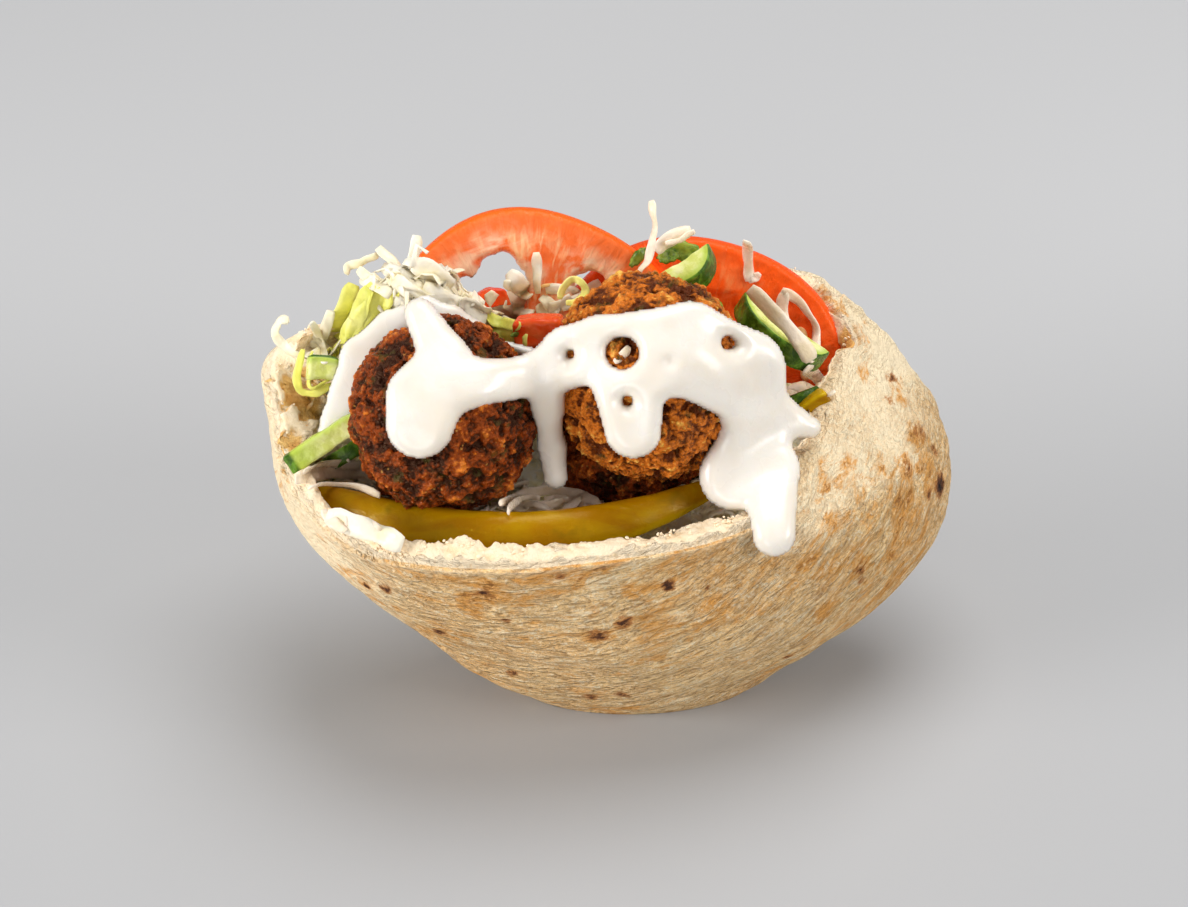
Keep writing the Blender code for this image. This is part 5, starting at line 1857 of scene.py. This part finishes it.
def sauce_mesh(name, runs, holes, dimples, tree, sheet):
    """A poured sheet draped over what is under it, thick and rounded at its edges."""
    thick, edge, gap = sheet

    def distance(at):
        away = stroke_distance(at, runs, SAUCE_BLEND)
        for x, y, radius in holes:
            away = np.maximum(away, radius - np.hypot(at[:, 0] - x, at[:, 1] - y))
        return away

    bm = flat_sheet(distance, *stroke_box(runs, 2.0), SAUCE_CELL)
    eye = pour_eye()
    lift_layer = bm.verts.layers.float.new("lift")
    bm.verts.index_update()
    met = [lift_onto(tree, v.co.x, v.co.y) for v in bm.verts]
    floor = np.array([BARE_LIFT if value is None else value for value in met])
    pairs = np.array([[v.index for v in e.verts] for e in bm.edges])
    counts = np.bincount(pairs.ravel(), minlength=len(floor))
    lift = floor.copy()
    for _ in range(DRAPE_ROUNDS):
        lift = np.maximum(floor, neighbours_mean(lift, pairs, counts))
    for _ in range(RELAX_ROUNDS):
        lift = neighbours_mean(lift, pairs, counts)
    for vert, value in zip(bm.verts, lift):
        vert[lift_layer] = value
    mesh = two_sided(bm, name)

    at = points_of(mesh)[:, :2].copy()
    side = values_of(mesh, "side")
    lift = values_of(mesh, "lift")
    inward = np.maximum(-distance(at), 0.0)
    full = np.sqrt(1 - (1 - np.clip(inward / edge, 0, 1)) ** 2)
    flat = np.column_stack([at, np.zeros(len(at))])
    depth = thick * full * (1 + 0.26 * waves(flat, 8.0, 3.0))
    for x, y, radius, deep in dimples:
        away = np.hypot(at[:, 0] - x, at[:, 1] - y) / radius
        depth = depth - deep * np.exp(-(away**2)) * full
    draped = np.array([on_pour_plane(x, y) for x, y in at])
    toward = unit(np.array(eye) - draped)
    reach = np.linalg.norm(np.array(eye) - draped, axis=1) / POUR_REACH
    points = draped + toward * ((lift + gap) * reach)[:, None]
    move_points(mesh, points)
    facing = normals_of(mesh) * np.where(side < 0, -1.0, 1.0)[:, None]
    facing[side == 0] = toward[side == 0]
    facing = unit(facing + 0.5 * toward)
    points = points + facing * (np.where(side > 0, depth, -0.1 * full))[:, None]
    move_points(mesh, points)
    return smoothed(merged(mesh), 3, 0.4)


def sauce_material():
    """Thick tahini: warm white, soft and glossy."""
    c = colours()
    material, s = new_material(
        "tahini",
        {
            "Specular IOR Level": 0.5,
            "Subsurface Weight": 0.25,
            "Subsurface Scale": 0.003,
            "Subsurface Radius": (1.0, 0.75, 0.45),
            "Coat Weight": 0.15,
            "Coat Roughness": 0.1,
        },
    )
    place = s.place()
    cloud = s.noise(place, 90.0, 3.0, 0.5)
    grit = s.noise(place, 1500.0, 2.0, 0.5)
    specks = s.grains(place, 500.0)
    colour = s.mix(s.range(cloud, 0.35, 0.7), tuple(c.sauce), (0.79, 0.715, 0.61, 1))
    colour = s.mix(s.range(specks, 0.06, 0.03, 0.0, 0.35), colour, (0.60, 0.42, 0.20, 1))
    rough = s.range(cloud, 0.3, 0.7, 0.24, 0.34)
    relief = s.bump(grit, 0.0001, 0.3)
    return dressed(material, s, colour, rough, relief)


class PITA_OT_sauce(bpy.types.Operator):
    """Make the tahini poured over the falafel, and the thin sauce that ran down the heap"""

    bl_idname = "pita.sauce"
    bl_label = "Tahini sauce"

    def execute(self, context):
        tree = tree_of_nodes(solids_under())
        material = sauce_material()
        poured = sauce_mesh(
            "tahini_poured", SAUCE_RUNS, SAUCE_HOLES, SAUCE_DIMPLES, tree, POURED_SHEET
        )
        finished("tahini_poured", poured, material, ("tahini_sauce",))
        heap = tree_of_nodes(solids_under(("tahini_sauce", *FALAFELS)))
        thin = sauce_mesh("tahini_thin", THIN_RUNS, (), (), heap, THIN_SHEET)
        finished("tahini_thin", thin, material)
        return {"FINISHED"}


# ---- herbs and crumbs ----


def leaf_mesh(name, tree):
    """Torn herb leaves with a ruffled, toothed edge, each curved over its midrib."""
    whole = bmesh.new()
    chance = random.Random(SEEDS["herbs"])
    for across, up, length, width, turn, lift in LEAVES:
        seed = chance.uniform(0, 50)

        def distance(at, length=length, width=width, seed=seed):
            angle = np.arctan2(at[:, 1] / width, at[:, 0] / length)
            teeth = 1 + 0.07 * np.cos(9 * angle + seed) + 0.05 * np.cos(4 * angle + 2 * seed)
            away = np.hypot(at[:, 0] / (length / 2), at[:, 1] / (width / 2)) / teeth
            return (away - 1) * min(length, width) / 2

        reach = (length * 0.6, width * 0.6)
        sheet = flat_sheet(distance, (-reach[0], -reach[1]), reach, LEAF_CELL)
        part = two_sided(sheet, "leaf")
        points = points_of(part)
        side = values_of(part, "side")
        own = points[:, 0] / length
        ruffle = 0.28 * np.sin(own * 9 + seed) + 0.25 * np.sin(points[:, 1] * 2 + seed)
        vein = -0.12 * np.exp(-((points[:, 1] / 0.3) ** 2))
        points[:, 2] = ruffle - 0.10 * (points[:, 1] / width * 4) ** 2 + vein + side * 0.14
        spin = math.radians(turn)
        x = points[:, 0] * math.cos(spin) - points[:, 1] * math.sin(spin)
        y = points[:, 0] * math.sin(spin) + points[:, 1] * math.cos(spin)
        points[:, 0], points[:, 1] = x, y
        height = lift_onto(tree, across, up) + LEAF_GAP if lift is None else lift
        centre = on_pour_plane(across, up).lerp(pour_eye(), height / POUR_REACH)
        move_points(part, put(points, centre, (0.0, 0.0, 0.0)))
        whole.from_mesh(part)
        bpy.data.meshes.remove(part)
    return mesh_from(whole, name)


def leaf_material():
    """Fresh green leaf with paler veins."""
    material, s = new_material("herb_leaf", {"Specular IOR Level": 0.4})
    place = s.place()
    tone = s.noise(place, 320.0, 4.0, 0.6)
    veins = s.grains(place, 700.0, "DISTANCE_TO_EDGE")
    colour = s.mix(s.range(tone, 0.35, 0.68), (0.07, 0.15, 0.010, 1), (0.36, 0.42, 0.04, 1))
    colour = s.mix(s.range(veins, 0.10, 0.02, 0.0, 0.5), colour, (0.30, 0.42, 0.06, 1))
    rough = s.range(tone, 0.3, 0.7, 0.3, 0.5)
    relief = s.bump(tone, 0.0004, 0.6)
    return dressed(material, s, colour, rough, relief)


def crumb_mesh(name, places, chance):
    """Small uneven grains at the given places, each a place and a size."""
    bm = bmesh.new()
    for place, size in places:
        made = bmesh.ops.create_icosphere(bm, subdivisions=2, radius=1.0)["verts"]
        seed = chance.uniform(0, 90)
        for vert in made:
            vert.co *= 1 + 0.45 * noise.noise(vert.co * 1.6 + Vector((seed, 0, 0)))
        spread = Matrix.Diagonal(
            (size, size * chance.uniform(0.6, 1.0), size * chance.uniform(0.5, 0.9), 1.0)
        )
        turn = Matrix.Rotation(chance.uniform(0, math.tau), 4, "Z")
        tip = Matrix.Rotation(chance.uniform(0, math.pi), 4, "X")
        bmesh.ops.transform(bm, matrix=Matrix.Translation(place) @ turn @ tip @ spread, verts=made)
    return mesh_from(bm, name)


def rim_crumb_places(chance):
    """Places for crumbs along the rim's torn inner edge, thickest on the near side."""
    places = []
    while len(places) < RIM_CRUMBS:
        angle = chance.choice((chance.uniform(3.5, 5.9), chance.uniform(0.0, math.tau)))
        at = np.array([angle])
        deep = WALL * chance.triangular(0.35, 1.12, 0.98) + min(rim_lip(at)[0], 0.0)
        height = np.array([1.0])
        point = outside(height, at)[0] + outward(height, at)[0] * -deep
        cluster = noise.noise(Vector(point) / 5.0)
        if cluster < -0.15 or spread_round(at, RIM_FOLDS)[0] > 0.6:
            continue
        point[2] += RIM_CROWN * 0.8 + chance.uniform(0.0, 0.9) * (1 + cluster)
        places.append((Vector(point), chance.triangular(0.18, 0.62, 0.28)))
    return places


def crumb_material():
    """Loose crumbs, in the colouring of torn crumb."""
    material, s = new_material("loose_crumb", {"Roughness": 0.85})
    c = colours()
    inputs = {"Vector": s.place(), "Crumb": tuple(c.crumb), "Golden": tuple(c.pocket)}
    colour = s.group(crumb_tones(), inputs)
    return dressed(material, s, colour)


class PITA_OT_scatter(bpy.types.Operator):
    """Make the herb leaves and the loose crumbs"""

    bl_idname = "pita.scatter"
    bl_label = "Herbs and crumbs"

    def execute(self, context):
        tree = tree_of_nodes(solids_under())
        finished("herb_leaves", leaf_mesh("herb_leaves", tree), leaf_material())
        chance = random.Random(SEEDS["crumbs"])
        crumbs = crumb_mesh("rim_crumbs", rim_crumb_places(chance), chance)
        finished("rim_crumbs", crumbs, crumb_material())
        return {"FINISHED"}


# ---- stage ----


class PITA_OT_stage(bpy.types.Operator):
    """Make the floor, the lights and the camera"""

    bl_idname = "pita.stage"
    bl_label = "Stage"

    def execute(self, context):
        floor = stage_floor()
        stage_lights()
        stage_camera()
        return {"FINISHED"}


def stage_floor():
    """A pale floor, painted a little lighter towards the back as painted light."""
    bm = bmesh.new()
    bmesh.ops.create_grid(bm, x_segments=4, y_segments=4, size=FLOOR_SIZE)
    mesh = mesh_from(bm, "floor")
    material, s = new_material("floor", {"Roughness": 0.75, "Specular IOR Level": 0.2})
    back = s.node("ShaderNodeSeparateXYZ", {0: s.place()}).outputs[1]
    # painted light: the floor grows lighter towards the back
    tone = s.plus(s.range(back, -0.08, 0.22, 0.0, 0.9), s.noise(s.place(), 2.0, 1.0))
    colour = s.mix(s.range(tone, 0.4, 1.5), (0.425, 0.425, 0.43, 1), (0.49, 0.49, 0.495, 1))
    mesh.materials.append(dressed(material, s, colour))
    obj = bpy.data.objects.new("floor", mesh)
    bpy.context.scene.collection.objects.link(obj)
    return obj


def stage_lights():
    """An even pale room and four soft discs of light."""
    world = bpy.data.worlds.new("soft_room")
    world.use_nodes = True
    background = world.node_tree.nodes["Background"].inputs
    background["Color"].default_value = (1.0, 1.0, 1.0, 1)
    background["Strength"].default_value = ROOM_LIGHT
    bpy.context.scene.world = world
    for name, place, aim, size, power in LIGHTS:
        light = bpy.data.lights.new(name, "AREA")
        light.shape = "DISK"
        light.size = size
        light.energy = power
        obj = bpy.data.objects.new(name, light)
        aim_along(obj, Vector(place), Vector(aim))


def aim_along(obj, place, aim):
    """Puts a light or a camera in its place, and points it at its aim."""
    obj.location = place
    obj.rotation_euler = (aim - place).to_track_quat("-Z", "Y").to_euler()
    bpy.context.scene.collection.objects.link(obj)


def stage_camera():
    """A camera that looks down the pour's line."""
    data = bpy.data.cameras.new("camera")
    data.lens = LENS
    data.sensor_width = SENSOR_WIDTH
    data.clip_start = 0.01
    data.clip_end = 10.0
    camera = bpy.data.objects.new("camera", data)
    shift = Vector((*ORIGIN, 0.0))
    aim_along(camera, (pour_eye() - shift) * MM, (Vector(POUR_MIDDLE) - shift) * MM)
    bpy.context.scene.camera = camera
    bpy.context.scene.view_settings.view_transform = "Standard"


class PITA_PT_panel(bpy.types.Panel):
    """Sizes, colours and pieces of the falafel pita"""

    bl_label = "Falafel pita"
    bl_space_type = "VIEW_3D"
    bl_region_type = "UI"
    bl_category = "Pita"

    def draw(self, context):
        for group in (context.scene.pita_sizes, context.scene.pita_colours):
            box = self.layout.box()
            for name in group.__annotations__:
                box.prop(group, name)
        for operator in OPERATORS:
            self.layout.operator(operator.bl_idname)


OPERATORS = (
    PITA_OT_bread,
    PITA_OT_falafel,
    PITA_OT_tomato,
    PITA_OT_cut_pieces,
    PITA_OT_salad,
    PITA_OT_sauce,
    PITA_OT_scatter,
    PITA_OT_stage,
)
CLASSES = (PitaSizes, PitaColours, *OPERATORS, PITA_PT_panel)


def register():
    for cls in CLASSES:
        bpy.utils.register_class(cls)
    bpy.types.Scene.pita_sizes = bpy.props.PointerProperty(type=PitaSizes)
    bpy.types.Scene.pita_colours = bpy.props.PointerProperty(type=PitaColours)


def unregister():
    del bpy.types.Scene.pita_sizes
    del bpy.types.Scene.pita_colours
    for cls in reversed(CLASSES):
        bpy.utils.unregister_class(cls)


def main():
    register()
    bpy.ops.pita.bread()
    bpy.ops.pita.falafel()
    bpy.ops.pita.tomato()
    bpy.ops.pita.cut_pieces()
    bpy.ops.pita.salad()
    bpy.ops.pita.sauce()
    bpy.ops.pita.scatter()
    bpy.ops.pita.stage()


if __name__ == "__main__":
    main()
